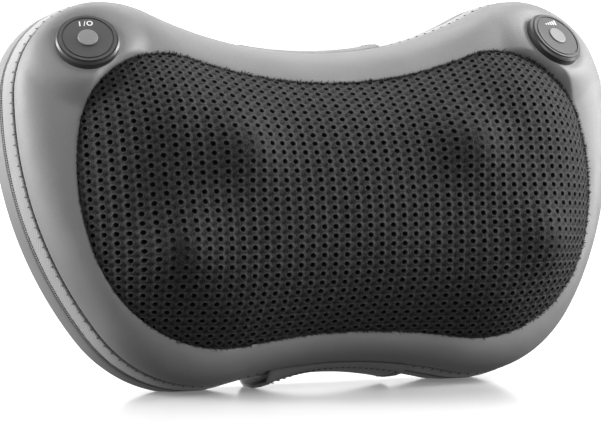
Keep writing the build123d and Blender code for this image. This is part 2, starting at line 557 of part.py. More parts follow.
# ---------------------------------------------------------------- power inlet, board, leads, zip pull
def make_electrics():
    barrel = disc(INLET_R, INLET_X, INLET_Z, BACK_Y - 16, BACK_Y + GAP) \
        + disc(INLET_R + 2, INLET_X, INLET_Z, BACK_Y + GAP, BACK_Y + GAP + 1.4)
    mouth = BACK_Y + GAP + 1.4
    parts["power_inlet"] = barrel - disc(INLET_BORE_R, INLET_X, INLET_Z, mouth - 10, mouth)
    parts["inlet_pin"] = disc(INLET_PIN_R, INLET_X, INLET_Z, mouth - 10, mouth - 1.5)
    board = Pos(0, BOARD_Y + BOARD[2] / 2, BOARD_Z) * Box(BOARD[0], BOARD[2], BOARD[1])
    parts["circuit_board"] = board
    small = [(-6, -9, 5, 1.6, 5), (3, -10, 6, 1.2, 4), (-12, 0, 5, 2.4, 3), (8, -1, 5, 3, 4)]
    chips = [Pos(x, BOARD_Y - t / 2, BOARD_Z + z) * Box(w, t, h) for x, z, w, t, h in small]
    capacitor = disc(4, 0, BOARD_Z + 6, BOARD_Y - 9, BOARD_Y)
    plugs = [plug(side * LEAD_DROP_X, BOARD_Z + 11) for side in SIDES.values()]
    plugs += [plug(side * LEAD_DROP_X, BOARD_Z - 10) for side in SIDES.values()]
    parts["board_components"] = Compound(chips + plugs + [capacitor])


def plug(x, z):
    """Lead connector on the front of the circuit board."""
    return Pos(x, PLUG_Y, z) * Box(5, PLUG_T, 6)


def lead(points, bends, radius=LEAD_R):
    """Round lead along straight runs joined by arcs."""
    path = FilletPolyline(*points, radius=bends)
    return sweep(Plane(origin=path @ 0, z_dir=path % 0) * Circle(radius), path=path)


def pod_lead(side, radius=LEAD_R):
    """From the back of a pod, over the housing and down to the circuit board."""
    frame = pod_frame(side)
    start = frame.from_local_coords(Vector(0, 0, -POD_DEPTH))
    inward = frame.from_local_coords(Vector(0, 0, -POD_DEPTH - 12))
    above = BOX_TOP + 3.6
    x = side * LEAD_DROP_X
    return lead([start, inward, (side * 90, LEAD_Y, above + 6), (side * 50, LEAD_Y, above + 2),
                 (x, LEAD_Y, above), (x, LEAD_Y, BOX_TOP - 4),
                 (x, PLUG_Y, BOARD_Z + 19), (x, PLUG_Y, BOARD_Z + 14)], [8, 18, 60, 5, 4, 3], radius)


def pod_channels():
    """Room in the padding for the pod leads."""
    return [pod_lead(side, LEAD_R + PAD_GAP) for side in SIDES.values()]


def motor_lead(side):
    """From a motor terminal, up beside the motor, to the circuit board."""
    x = side * (MOTOR_R + 1.7)
    y = WORM_Y + 10.5
    low = CAP_LOW - 1.3
    plug_x = side * LEAD_DROP_X
    return lead([(side * 8.25, WORM_Y, low), (x, WORM_Y + 3, low), (x, y, CAP_LOW + 8), (x, y, ROTOR_Z),
                 (plug_x, PLUG_Y, BOARD_Z - 21), (plug_x, PLUG_Y, BOARD_Z - 13)], [3.5, 6, 40, 6])


def make_leads():
    parts["pod_leads"] = Compound([pod_lead(side) for side in SIDES.values()])
    parts["motor_leads"] = Compound([motor_lead(side) for side in SIDES.values()])
    y = BACK_Y - 12
    run = [(INLET_X - INLET_R, y, INLET_Z), (INLET_X - 18, y, INLET_Z), (44, y - 2, ROTOR_Z + 2),
           (26, BOARD_Y - 2, BOARD_Z - 10), (14.5, BOARD_Y - 2, BOARD_Z - 10)]
    parts["inlet_lead"] = lead(run, [10, 20, 8])


def slider_frame():
    """On the zip at the right: x down along the zip, z out of the side."""
    top, low = complex(SEAM.top_x, SEAM.top_z), complex(SEAM.low_x, SEAM.low_z)
    centre = side_centre(top, low, SEAM.side_r - SEAM.top_r, SEAM.side_r - SEAM.low_r)
    radius = SEAM.side_r + STRIP_FLARE + TEETH_PROUD
    angle = asin((PULL_Z - centre.imag) / radius)
    x = centre.real + radius * cos(angle)
    return Plane(origin=(x, (ZIP_FRONT + ZIP_BACK) / 2, PULL_Z), x_dir=(sin(angle), 0, -cos(angle)),
                 z_dir=(cos(angle), 0, sin(angle)))


def make_zip_pull():
    frame = slider_frame()
    bar_x, bar_z = 2.0, GAP / 2 + SLIDER[2] + 1.6
    slider = Pos(0, 0, GAP / 2) * Box(*SLIDER, align=UP)
    slider = fillet(slider.edges().filter_by(Axis.Z), 1.2)
    for y in (-1, 1):
        ear = Box(2.4, 1.0, 2.8, align=UP)
        slider += Pos(bar_x, y * (SLIDER[1] / 2 - 0.5), GAP / 2 + SLIDER[2] - 0.1) * ear
    slider += Pos(bar_x, 0, bar_z) * Rot(90, 0, 0) * Cylinder(PULL_BAR_R, SLIDER[1])
    parts["zip_slider"] = frame * slider
    eye_r = PULL_BAR_R + 0.08
    pull = Pos(bar_x, 0, bar_z) * Rot(90, 0, 0) * Cylinder(eye_r + 0.8, PULL_WIDTH - 1)
    tab = Pos(PULL_LENGTH / 2, 0, 0) * Box(PULL_LENGTH - 2, PULL_WIDTH, PULL_T)
    tab = fillet(tab.edges().filter_by(Axis.Z), 1.5)
    pull += Pos(bar_x + 1.6, 0, bar_z) * (tab + Pos(1, 0, 0) * Box(3, PULL_WIDTH - 1, PULL_T))
    pull -= Pos(bar_x, 0, bar_z) * Rot(90, 0, 0) * Cylinder(eye_r, SLIDER[1] + 2)
    parts["zip_puller"] = frame * pull


def press_feet():
    """Flatten the lowest part of the two lower lobes to the plane that the pillow stands on."""
    lean = radians(LEAN)
    grown = STRIP_FLARE + TEETH_PROUD
    centre_z = LOW_CORNER_Z - LOW_CORNER_R - STRIP_FLARE + BACK_ROUND
    round_y = BACK_Y - BACK_ROUND
    low = centre_z * cos(lean) - round_y * sin(lean) - BACK_ROUND
    floor = low + FOOT_CUT
    slab_below = Rot(-LEAN, 0, 0).inverse() * Pos(0, 0, floor - 50) * Box(600, 600, 100)
    for name in ("side_strip", "zip_tape", "zip_teeth", "back_panel", "side_padding"):
        parts[name] = parts[name] - slab_below
    return floor


make_front()
make_back()
make_housing()
for side_name, side_sign in SIDES.items():
    make_rotor(side_name, side_sign)
    make_pod(side_name, side_sign)
make_worm()
make_motor()
make_electrics()
make_leads()
make_zip_pull()
FLOOR = press_feet()

leaned = Compound([Rot(-LEAN, 0, 0) * shape for shape in parts.values()])
box = leaned.bounding_box()
PLACE = Pos(0, -(box.min.Y + box.max.Y) / 2, -FLOOR) * Rot(-LEAN, 0, 0)

os.makedirs("parts", exist_ok=True)
for name, shape in parts.items():
    export_step(PLACE * shape, "parts/" + name + ".step")
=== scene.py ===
import json
import math

import bpy
import numpy as np
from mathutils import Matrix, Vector
from mathutils.geometry import delaunay_2d_cdt


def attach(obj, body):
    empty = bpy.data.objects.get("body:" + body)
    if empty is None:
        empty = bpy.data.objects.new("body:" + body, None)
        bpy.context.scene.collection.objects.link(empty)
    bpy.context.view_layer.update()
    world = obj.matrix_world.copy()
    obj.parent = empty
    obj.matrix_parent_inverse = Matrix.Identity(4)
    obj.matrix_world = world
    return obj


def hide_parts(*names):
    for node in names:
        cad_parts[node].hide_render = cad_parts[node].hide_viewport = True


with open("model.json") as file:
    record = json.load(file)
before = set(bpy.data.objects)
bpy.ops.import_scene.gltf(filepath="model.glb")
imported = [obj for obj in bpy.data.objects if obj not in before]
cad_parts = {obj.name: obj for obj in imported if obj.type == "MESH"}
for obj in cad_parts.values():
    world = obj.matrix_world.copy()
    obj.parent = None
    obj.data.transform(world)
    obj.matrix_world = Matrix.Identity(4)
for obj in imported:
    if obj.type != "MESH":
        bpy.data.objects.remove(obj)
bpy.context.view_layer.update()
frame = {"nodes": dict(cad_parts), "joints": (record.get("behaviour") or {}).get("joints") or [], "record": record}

MM = 0.001
RNG = np.random.default_rng(7)

# ------------------------------------------------------------------ the pillow's own frame
# Shapes are drawn in millimetres in the pillow's frame (x right, y back, z up, origin in the
# plane of the front seam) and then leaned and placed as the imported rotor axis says.
ROTOR_X, ROTOR_Z = 67.0, -8.5
JOINTS = {joint["name"]: joint for joint in frame["joints"]}
SPIN = JOINTS["left_rotor_spin"]
BACK_DIR = Vector(SPIN["axis"]).normalized()
UP_DIR = Vector((1, 0, 0)).cross(BACK_DIR)
ORIGIN = Vector(SPIN["pos_m"]) + Vector((ROTOR_X * MM, 0, 0)) - UP_DIR * ROTOR_Z * MM
AXES = np.array([(1.0, 0.0, 0.0), tuple(BACK_DIR), tuple(UP_DIR)])


def place(points):
    """Pillow-frame millimetres to shared-frame metres."""
    return np.asarray(points, float) @ AXES * MM + np.array(ORIGIN)


# ------------------------------------------------------------------ sizes, in millimetres
HALF_WIDTH = 160.0
COVER_DEPTH = 19.0
MESH_RISE, DOME_REACH, DOME_POWER = 28.0, 70.0, 3.2
STRIP_FLARE = 1.2
STRIP_DEPTH = 12.0
ZIP_WIDTH = 4.0
BACK_Y = 38.0
BACK_ROUND = 14.0
STRAP_HALF = 37.0
INLET_AT = (98.0, -36.0)
INLET_RIM, INLET_DISH, INLET_OPEN = 8.5, 26.0, 4.4      # flange, dish round it, opening in the skin
POD_R = 15.2
POD_PLACE = (126.7, -19.2, 71.7)
POD_OUT, POD_UP = math.radians(16.0), math.radians(30.4)
HEAD_ORBIT, HEAD_TILT = 31.0, math.radians(38.0)
CELL_X, CELL_Z = 6.1, 4.5          # pitch of the mesh's round holes
HOLE_R = 1.2
LEATHER_T, STRIP_T, TAPE_T, STRAP_T = 0.0014, 0.001, 0.0006, 0.0016     # cloth thicknesses, in metres
CLOTH_FLARE = STRIP_FLARE - 0.4    # face of the side strip outside the seam

# Dog-bone outlines of eight tangent arcs: corner centres and radii, waist heights, side radius.
SEAM = np.array([HALF_WIDTH - 48.5, 44.9, 47.2, HALF_WIDTH - 87.2, -28.7, 64.2, 66.5, -84.3, 174.7])
MESH = np.array([HALF_WIDTH - 70.0, 18.7, 46.0, HALF_WIDTH - 92.3, -10.8, 67.1, 49.4, -72.2, 110.9])
ARC_SHARE = (0.22, 0.24, 0.20, 0.16, 0.18)      # how the points of a half share its five arcs


def hollow_radius(across, rise, radius):
    return (across**2 + rise**2 - radius**2) / (2 * (radius - rise))


def toward(a, b, distance):
    return a + (b - a) / abs(b - a) * distance


def outline(o, grow, count):
    """Closed loop of count points (x, z), clockwise from the top of the waist."""
    top, low = complex(o[0], o[1]), complex(o[3], o[4])
    top_r, low_r, side_r = o[2] + grow, o[5] + grow, o[8] + grow
    waist_top, waist_low = o[6] + grow, o[7] - grow
    upper_r = hollow_radius(top.real, waist_top - top.imag, top_r)
    lower_r = hollow_radius(low.real, low.imag - waist_low, low_r)
    upper, lower = complex(0, waist_top + upper_r), complex(0, waist_low - lower_r)
    apart = abs(low - top)
    to_top, to_low = side_r - top_r, side_r - low_r
    along = (to_top**2 - to_low**2 + apart**2) / (2 * apart)
    side = top + (low - top) / apart * (along - 1j * math.sqrt(to_top**2 - along**2))
    joins = [complex(0, waist_top), toward(upper, top, upper_r), toward(side, top, side_r),
             toward(side, low, side_r), toward(lower, low, lower_r), complex(0, waist_low)]
    centres = (upper, top, side, low, lower)
    half = []
    for centre, start, end, share in zip(centres, joins, joins[1:], ARC_SHARE):
        steps = round(count / 2 * share)
        first = start - centre
        turn = np.angle((end - centre) / first)
        half += [centre + first * np.exp(1j * turn * step / steps) for step in range(steps)]
    half = np.array(half)
    bottom = np.array([complex(0, waist_low)])
    loop = np.concatenate([half, bottom, -np.conj(half[1:][::-1])])
    return np.stack([loop.real, loop.imag], 1)


RING = 600
MESH_LOOP = outline(MESH, 0, RING)
SEAM_LOOP = outline(SEAM, 0, RING)


def inside_distance(loop, points):
    """Distance from each (x, z) to a closed loop, positive inside it."""
    a, b = loop, np.roll(loop, -1, 0)
    ab = b - a
    length2 = (ab**2).sum(1)
    result = np.empty(len(points))
    for first in range(0, len(points), 4000):
        p = points[first:first + 4000]
        ap = p[:, None] - a[None]
        t = np.clip((ap * ab).sum(2) / length2, 0, 1)
        near = np.linalg.norm(ap - t[..., None] * ab, axis=2).min(1)
        above = (a[None, :, 1] > p[:, None, 1]) != (b[None, :, 1] > p[:, None, 1])
        climb = p[:, None, 1] - a[None, :, 1]
        cross = ab[None, :, 0] * climb / (ab[None, :, 1] + 1e-12) + a[None, :, 0]
        inside = (above & (p[:, None, 0] < cross)).sum(1) % 2 == 1
        result[first:first + 4000] = np.where(inside, near, -near)
    return result


GRID_X = np.arange(-172.0, 173.0)
GRID_Z = np.arange(-112.0, 113.0)


def distance_grid(loop):
    """Distance inside a loop, worked out once on a 1 mm grid and read between its points."""
    gx, gz = np.meshgrid(GRID_X, GRID_Z, indexing="ij")
    values = inside_distance(loop, np.column_stack([gx.ravel(), gz.ravel()])).reshape(gx.shape)

    def read(flat):
        x = np.clip(flat[:, 0] - GRID_X[0], 0, len(GRID_X) - 1.001)
        z = np.clip(flat[:, 1] - GRID_Z[0], 0, len(GRID_Z) - 1.001)
        i, j = x.astype(int), z.astype(int)
        fx, fz = x - i, z - j
        return ((values[i, j] * (1 - fx) + values[i + 1, j] * fx) * (1 - fz)
                + (values[i, j + 1] * (1 - fx) + values[i + 1, j + 1] * fx) * fz)
    return read


mesh_distance = distance_grid(MESH_LOOP)


def smooth(low, high, value):
    t = np.clip((value - low) / (high - low), 0, 1)
    return t * t * (3 - 2 * t)


def waves(points, size, seed, octaves=3):
    """Smooth seeded noise of about unit height over (x, z) points."""
    rng = np.random.default_rng(seed)
    total = np.zeros(len(points))
    for octave in range(octaves):
        for _ in range(5):
            angle, phase = rng.uniform(0, math.pi), rng.uniform(0, 2 * math.pi)
            step = 2 * math.pi / (size / 2**octave) * rng.uniform(0.7, 1.3)
            total += np.sin((points[:, 0] * math.cos(angle) + points[:, 1] * math.sin(angle)) * step
                            + phase) / 2**octave
    return total / 5


# ------------------------------------------------------------------ materials
def add_object(name, data):
    made = bpy.data.objects.new(name, data)
    bpy.context.scene.collection.objects.link(made)
    return made


def new_material(name):
    material = bpy.data.materials.new(name)
    material.use_nodes = True
    tree = material.node_tree
    return material, tree, tree.nodes["Principled BSDF"]


def node(tree, kind, inputs=None, **settings):
    made = tree.nodes.new(kind)
    for key, value in settings.items():
        setattr(made, key, value)
    for key, value in (inputs or {}).items():
        if isinstance(value, bpy.types.NodeSocket):
            tree.links.new(value, made.inputs[key])
        else:
            made.inputs[key].default_value = value
    return made


def set_values(shader, values):
    """Sets plain values straight on a shader's sockets."""
    for key, value in values.items():
        shader.inputs[key].default_value = value


def math_node(tree, operation, a, b=0.0, clamp=False):
    return node(tree, "ShaderNodeMath", {0: a, 1: b}, operation=operation, use_clamp=clamp).outputs[0]


def ramp(tree, value, stops):
    made = node(tree, "ShaderNodeValToRGB", {0: value})
    elements = made.color_ramp.elements
    while len(elements) < len(stops):
        elements.new(0.5)
    for element, (position, colour) in zip(elements, stops):
        element.position = position
        element.color = (*colour, 1) if isinstance(colour, tuple) else (colour, colour, colour, 1)
    return made.outputs[0]


def mix_colour(tree, factor, a, b):
    made = node(tree, "ShaderNodeMix", {"Factor": factor}, data_type="RGBA")
    for socket, value in ((made.inputs[6], a), (made.inputs[7], b)):
        if isinstance(value, bpy.types.NodeSocket):
            tree.links.new(value, socket)
        else:
            socket.default_value = (*value, 1)
    return made.outputs[2]


def coords(tree):
    return node(tree, "ShaderNodeTexCoord").outputs["Object"]


def noise(tree, vector, scale, detail=3.0, rough=0.5):
    return node(tree, "ShaderNodeTexNoise", {"Vector": vector, "Scale": scale, "Detail": detail,
                                             "Roughness": rough}).outputs[0]


def bump(tree, shader, height, distance, strength=1.0):
    made = node(tree, "ShaderNodeBump", {"Height": height, "Distance": distance, "Strength": strength})
    tree.links.new(made.outputs[0], shader.inputs["Normal"])


def grey(value):
    return (value, value, value)


def leatherette(name, shade):
    """Coated cloth: fine pebble grain with painted shade in its creases, so the raised grain shows lighter; faint
    blotches.
    """
    material, tree, shader = new_material(name)
    at = coords(tree)
    cells = node(tree, "ShaderNodeTexVoronoi", {"Vector": at, "Scale": 1300.0, "Randomness": 0.9},
                 feature="DISTANCE_TO_EDGE").outputs[0]
    grain = ramp(tree, cells, [(0.0, 0.0), (0.16, 1.0)])
    fine = noise(tree, at, 2600.0, 2.0)
    blotch = noise(tree, at, 24.0, 4.0)
    colour = ramp(tree, blotch, [(0.3, grey(shade * 0.93)), (0.7, grey(shade * 1.06))])
    # painted shade: the grain's crease lines are mixed towards a darker grey
    crease_shaded = mix_colour(tree, math_node(tree, "MULTIPLY", math_node(tree, "SUBTRACT", 1.0, grain), 0.22),
                         colour, grey(shade * 0.55))
    tree.links.new(crease_shaded, shader.inputs["Base Color"])
    rough = node(tree, "ShaderNodeMapRange", {"Value": blotch, "From Min": 0.3, "From Max": 0.7,
                                              "To Min": 0.44, "To Max": 0.54}).outputs[0]
    tree.links.new(rough, shader.inputs["Roughness"])
    set_values(shader, {"Specular IOR Level": 0.45})
    height = math_node(tree, "ADD", grain, math_node(tree, "MULTIPLY", fine, 0.5))
    bump(tree, shader, height, 0.00006, 0.6)
    return material


def woven(name, shade, pitch, contrast=0.35):
    """Plain weave: two crossing sets of threads with fuzz and slub."""
    material, tree, shader = new_material(name)
    at = coords(tree)
    slub = noise(tree, at, 60.0, 3.0)
    warped = node(tree, "ShaderNodeVectorMath", {0: at}, operation="ADD")
    shift = node(tree, "ShaderNodeVectorMath", {0: node(
        tree, "ShaderNodeTexNoise", {"Vector": at, "Scale": 220.0}).outputs[1], "Scale": pitch * 0.25 * MM},
        operation="SCALE")
    tree.links.new(shift.outputs[0], warped.inputs[1])
    split = node(tree, "ShaderNodeSeparateXYZ", {0: warped.outputs[0]})
    step = math.pi / (pitch * MM)
    across = math_node(tree, "SINE", math_node(tree, "MULTIPLY", split.outputs[1], step * 1.2))
    round_x = math_node(tree, "MULTIPLY", split.outputs[0], step)
    round_z = math_node(tree, "MULTIPLY", split.outputs[2], step)
    around = math_node(tree, "SINE", math_node(tree, "ADD", round_x, round_z))
    threads = math_node(tree, "MULTIPLY", across, around)
    threads = math_node(tree, "ADD", math_node(tree, "MULTIPLY", threads, 0.5), 0.5)
    fuzz = noise(tree, at, 3000.0, 2.0)
    height = math_node(tree, "ADD", threads, math_node(tree, "MULTIPLY", fuzz, 0.6))
    # painted shade and highlight: the colour follows the weave's height, darker on low threads and lighter on
    # raised ones, with the fuzz adding random tone
    low, high = shade * (1 - contrast), shade * (1 + contrast * 0.5)
    shown = ramp(tree, math_node(tree, "MULTIPLY", height, 0.6), [(0.15, grey(low)), (0.75, grey(high))])
    blotched = mix_colour(tree, math_node(tree, "MULTIPLY", slub, 0.3), shown, grey(shade * 0.8))
    tree.links.new(blotched, shader.inputs["Base Color"])
    set_values(shader, {"Roughness": 0.85, "Specular IOR Level": 0.25, "Sheen Weight": 0.2,
                        "Sheen Roughness": 0.5})
    bump(tree, shader, height, 0.00012, 0.8)
    return material


def knit(name, shade):
    """Black polyester of the spacer mesh: twisted strands, with painted shade down in the holes."""
    material, tree, shader = new_material(name)
    at = coords(tree)
    depth = node(tree, "ShaderNodeAttribute", attribute_name="depth").outputs["Fac"]
    stretched = node(tree, "ShaderNodeMapping", {"Vector": at, "Scale": (1.0, 1.0, 0.35)}).outputs[0]
    fibre = noise(tree, stretched, 2400.0, 3.0, 0.7)
    patch = noise(tree, at, 130.0, 3.0)
    strand = ramp(tree, fibre, [(0.36, grey(shade * 0.25)), (0.5, grey(shade)), (0.66, grey(shade * 2.3))])
    strand = mix_colour(tree, math_node(tree, "MULTIPLY", patch, 0.35), strand, grey(shade * 0.6))
    # painted shade: the 'depth' attribute mixes the knit towards black down the holes, in the pits and over the
    # heads
    colour = mix_colour(tree, depth, strand, grey(0.002))
    tree.links.new(colour, shader.inputs["Base Color"])
    set_values(shader, {"Roughness": 0.75, "Specular IOR Level": 0.15})
    bump(tree, shader, fibre, 0.00022, 0.9)
    return material


WEAR = 0.12              # how much handling lightens and darkens a plastic
TARNISH = 0.82


def plastic(name, colour, rough=0.4, grain=1600.0, depth=0.00003):
    """Moulded plastic: spark-eroded grain and slight handling marks."""
    material, tree, shader = new_material(name)
    at = coords(tree)
    speck = noise(tree, at, grain, 2.0)
    cloud = noise(tree, at, 35.0, 4.0)
    lighter = tuple(min(1.0, c * (1 + WEAR) + 0.004) for c in colour)
    darker = tuple(c * (1 - WEAR) for c in colour)
    tree.links.new(mix_colour(tree, cloud, darker, lighter), shader.inputs["Base Color"])
    varied = node(tree, "ShaderNodeMapRange", {"Value": cloud, "From Min": 0.3, "From Max": 0.7,
                                               "To Min": rough * 0.9, "To Max": rough * 1.12})
    tree.links.new(varied.outputs[0], shader.inputs["Roughness"])
    bump(tree, shader, speck, depth, 0.7)
    return material


def metal(name, colour, rough=0.3, stretch=(1.0, 1.0, 1.0)):
    """Machined or plated metal: tool marks and light tarnish."""
    material, tree, shader = new_material(name)
    at = node(tree, "ShaderNodeMapping", {"Vector": coords(tree), "Scale": stretch}).outputs[0]
    marks = noise(tree, at, 900.0, 2.0)
    tarnish = noise(tree, at, 40.0, 4.0)
    shown = mix_colour(tree, tarnish, tuple(c * TARNISH for c in colour), colour)
    tree.links.new(shown, shader.inputs["Base Color"])
    varied = node(tree, "ShaderNodeMapRange", {"Value": marks, "To Min": rough * 0.7, "To Max": rough * 1.3})
    tree.links.new(varied.outputs[0], shader.inputs["Roughness"])
    set_values(shader, {"Metallic": 1.0})
    bump(tree, shader, marks, 0.00001, 0.5)
    return material


def foam(name, colour):
    """Open-cell foam: a close field of small pores."""
    material, tree, shader = new_material(name)
    at = coords(tree)
    pores = node(tree, "ShaderNodeTexVoronoi", {"Vector": at, "Scale": 900.0}).outputs[0]
    cloud = noise(tree, at, 30.0)
    # painted shade: the colour darkens towards each pore's centre
    shade = ramp(tree, pores, [(0.1, tuple(c * 0.45 for c in colour)), (0.5, colour)])
    blotched = mix_colour(tree, math_node(tree, "MULTIPLY", cloud, 0.3), shade,
                          tuple(c * 0.8 for c in colour))
    tree.links.new(blotched, shader.inputs["Base Color"])
    set_values(shader, {"Roughness": 0.95})
    bump(tree, shader, pores, 0.0003, 0.8)
    return material


def board_mask(name):
    """Solder mask with copper tracks showing through as lighter lines."""
    material, tree, shader = new_material(name)
    at = coords(tree)
    tracks = node(tree, "ShaderNodeTexBrick", {"Vector": at, "Scale": 160.0, "Mortar Size": 0.012,
                                               "Color1": (0.01, 0.11, 0.04, 1),
                                               "Color2": (0.012, 0.13, 0.045, 1),
                                               "Mortar": (0.05, 0.26, 0.09, 1)})
    tree.links.new(tracks.outputs[0], shader.inputs["Base Color"])
    set_values(shader, {"Roughness": 0.3})
    bump(tree, shader, noise(tree, at, 900.0), 0.00002, 0.5)
    return material


def windings(name):
    """Armature: dark laminations with copper between them."""
    material, tree, shader = new_material(name)
    at = coords(tree)
    wave = node(tree, "ShaderNodeTexWave", {"Vector": at, "Scale": 700.0, "Distortion": 1.5},
                bands_direction="Z").outputs[0]
    shown = mix_colour(tree, wave, (0.18, 0.17, 0.16), (0.55, 0.26, 0.12))
    tree.links.new(shown, shader.inputs["Base Color"])
    set_values(shader, {"Metallic": 0.8, "Roughness": 0.42})
    bump(tree, shader, wave, 0.00005, 0.6)
    return material


LOOKS = {
    "leatherette": (leatherette, 0.215),
    "back_leatherette": (leatherette, 0.215),
    "air_mesh": (knit, 0.042),
    "lining": (woven, 0.012, 0.6),
    "foam": (foam, (0.62, 0.60, 0.52)),
    "woven_strip": (woven, 0.32, 0.85),
    "zip_tape": (woven, 0.33, 0.6, 0.45),
    # zip_coil is dark as painted shadow along both sides of the zip's coil
    "zip_coil": (plastic, (0.06, 0.06, 0.06), 0.45),
    "zip_metal": (metal, (0.05, 0.05, 0.055), 0.35),
    "housing_plastic": (plastic, (0.03, 0.03, 0.033), 0.5, 900.0, 0.00006),
    "arm_plastic": (plastic, (0.62, 0.60, 0.55), 0.45),
    "head_cap": (plastic, (0.42, 0.05, 0.03), 0.25),
    "head_hub": (plastic, (0.62, 0.60, 0.55), 0.45),
    "gear_nylon": (plastic, (0.72, 0.70, 0.62), 0.38),
    "worm_brass": (metal, (0.80, 0.58, 0.26), 0.28, (1.0, 1.0, 6.0)),
    "steel": (metal, (0.62, 0.62, 0.63), 0.22, (6.0, 1.0, 6.0)),
    "screws": (metal, (0.5, 0.5, 0.52), 0.32),
    "bronze": (metal, (0.55, 0.36, 0.2), 0.45),
    "motor_steel": (metal, (0.56, 0.56, 0.57), 0.3, (1.0, 1.0, 8.0)),
    "black_plastic": (plastic, (0.02, 0.02, 0.02), 0.35),
    "magnet": (plastic, (0.05, 0.05, 0.052), 0.7, 1200.0, 0.00008),
    "armature": (windings,),
    "circuit_board": (board_mask,),
    "components": (plastic, (0.03, 0.03, 0.03), 0.45),
    "lead_sheath": (plastic, (0.02, 0.02, 0.02), 0.55),
    "pod_base": (plastic, (0.032, 0.032, 0.033), 0.36, 2200.0, 0.00003),
    "pod_face": (plastic, (0.055, 0.055, 0.057), 0.42, 2600.0, 0.00004),
    "button": (plastic, (0.22, 0.22, 0.22), 0.38, 2600.0, 0.00003),
    "thread": (woven, 0.03, 0.35),
    "print": (plastic, (0.80, 0.80, 0.80), 0.5, 3000.0, 0.00001),
}
MATERIALS = {name: maker(name, *values) for name, (maker, *values) in LOOKS.items()}
for part in frame["record"]["subparts"]:
    slots = frame["nodes"][part["node"]].data.materials
    slots.clear()
    slots.append(MATERIALS[part["material_slot"]])


# ------------------------------------------------------------------ mesh helpers
def new_piece(name, points, faces, material, stands_for=()):
    """A mesh piece on the root body, drawn in pillow-frame millimetres."""
    mesh = bpy.data.meshes.new(name)
    mesh.from_pydata(place(points).tolist(), [], [list(map(int, face)) for face in faces])
    mesh.validate()
    mesh.update()
    mesh.polygons.foreach_set("use_smooth", [True] * len(mesh.polygons))
    piece = add_object(name, mesh)
    mesh.materials.append(MATERIALS[material])
    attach(piece, "root")
    if stands_for:
        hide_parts(*stands_for)
    return piece


def face_outward(piece):
    """Turns the faces so that most of them look away from the middle of the pillow."""
    mesh = piece.data
    middle = ORIGIN + BACK_DIR * 0.008
    score = sum((polygon.center - middle).dot(polygon.normal) for polygon in mesh.polygons)
    if score < 0:
        mesh.flip_normals()
        mesh.update()


def ring_faces(rows, count):
    """Quads between closed rings of count points each."""
    row = np.arange(rows - 1)[:, None] * count
    here = np.arange(count)[None]
    ahead = (here + 1) % count
    return np.stack([row + here, row + ahead, row + count + ahead, row + count + here], -1).reshape(-1, 4)


def add_modifier(piece, kind, **settings):
    made = piece.modifiers.new(kind.title(), kind)
    for key, value in settings.items():
        setattr(made, key, value)
    return made


def normals_of(loop):
    """Outward unit normals of a clockwise closed loop in (x, z)."""
    along = np.roll(loop, -1, 0) - np.roll(loop, 1, 0)
    along /= np.linalg.norm(along, axis=1)[:, None]
    return np.stack([-along[:, 1], along[:, 0]], 1)


def at_depth(loop, y):
    """Points (x, y, z) of a loop (x, z) at one depth."""
    return np.column_stack([loop[:, 0], np.full(len(loop), y), loop[:, 1]])


def tube_faces(first, levels, sides):
    """Quads round a small tube whose rings of points start at index first."""
    return [(low + k, low + (k + 1) % sides, low + sides + (k + 1) % sides, low + sides + k)
            for low in range(first, first + levels * sides, sides) for k in range(sides)]


def arc_lengths(loop):
    steps = np.linalg.norm(np.roll(loop, -1, 0) - loop, axis=1)
    return np.concatenate([[0], np.cumsum(steps)[:-1]]), steps.sum()


def pod_axes(side):
    """Origin, normal and two axes of a pod face in the pillow frame."""
    normal = np.array([side * math.sin(POD_OUT) * math.cos(POD_UP), -math.cos(POD_OUT) * math.cos(POD_UP),
                       math.sin(POD_UP)])
    right = np.array([math.cos(POD_OUT), side * math.sin(POD_OUT), 0.0])
    return np.array([side * POD_PLACE[0], POD_PLACE[1], POD_PLACE[2]]), normal, right, np.cross(normal, right)


# ------------------------------------------------------------------ front cover
SHOULDER_LAST = math.radians(75)
POD_SEAT = -3.9          # leatherette round a pod, below the pod's face
PUCKER_PITCH = 5.2


def shoulder_row(angle):
    """Loop (x, y, z) on the leatherette shoulder; 0 is the seam and SHOULDER_LAST the mesh edge."""
    share = (1 - math.cos(angle)) / (1 - math.cos(SHOULDER_LAST))
    loop = outline(SEAM + (MESH - SEAM) * share, 0, RING)
    y = -COVER_DEPTH * math.sin(angle) / math.sin(SHOULDER_LAST)
    return loop, y


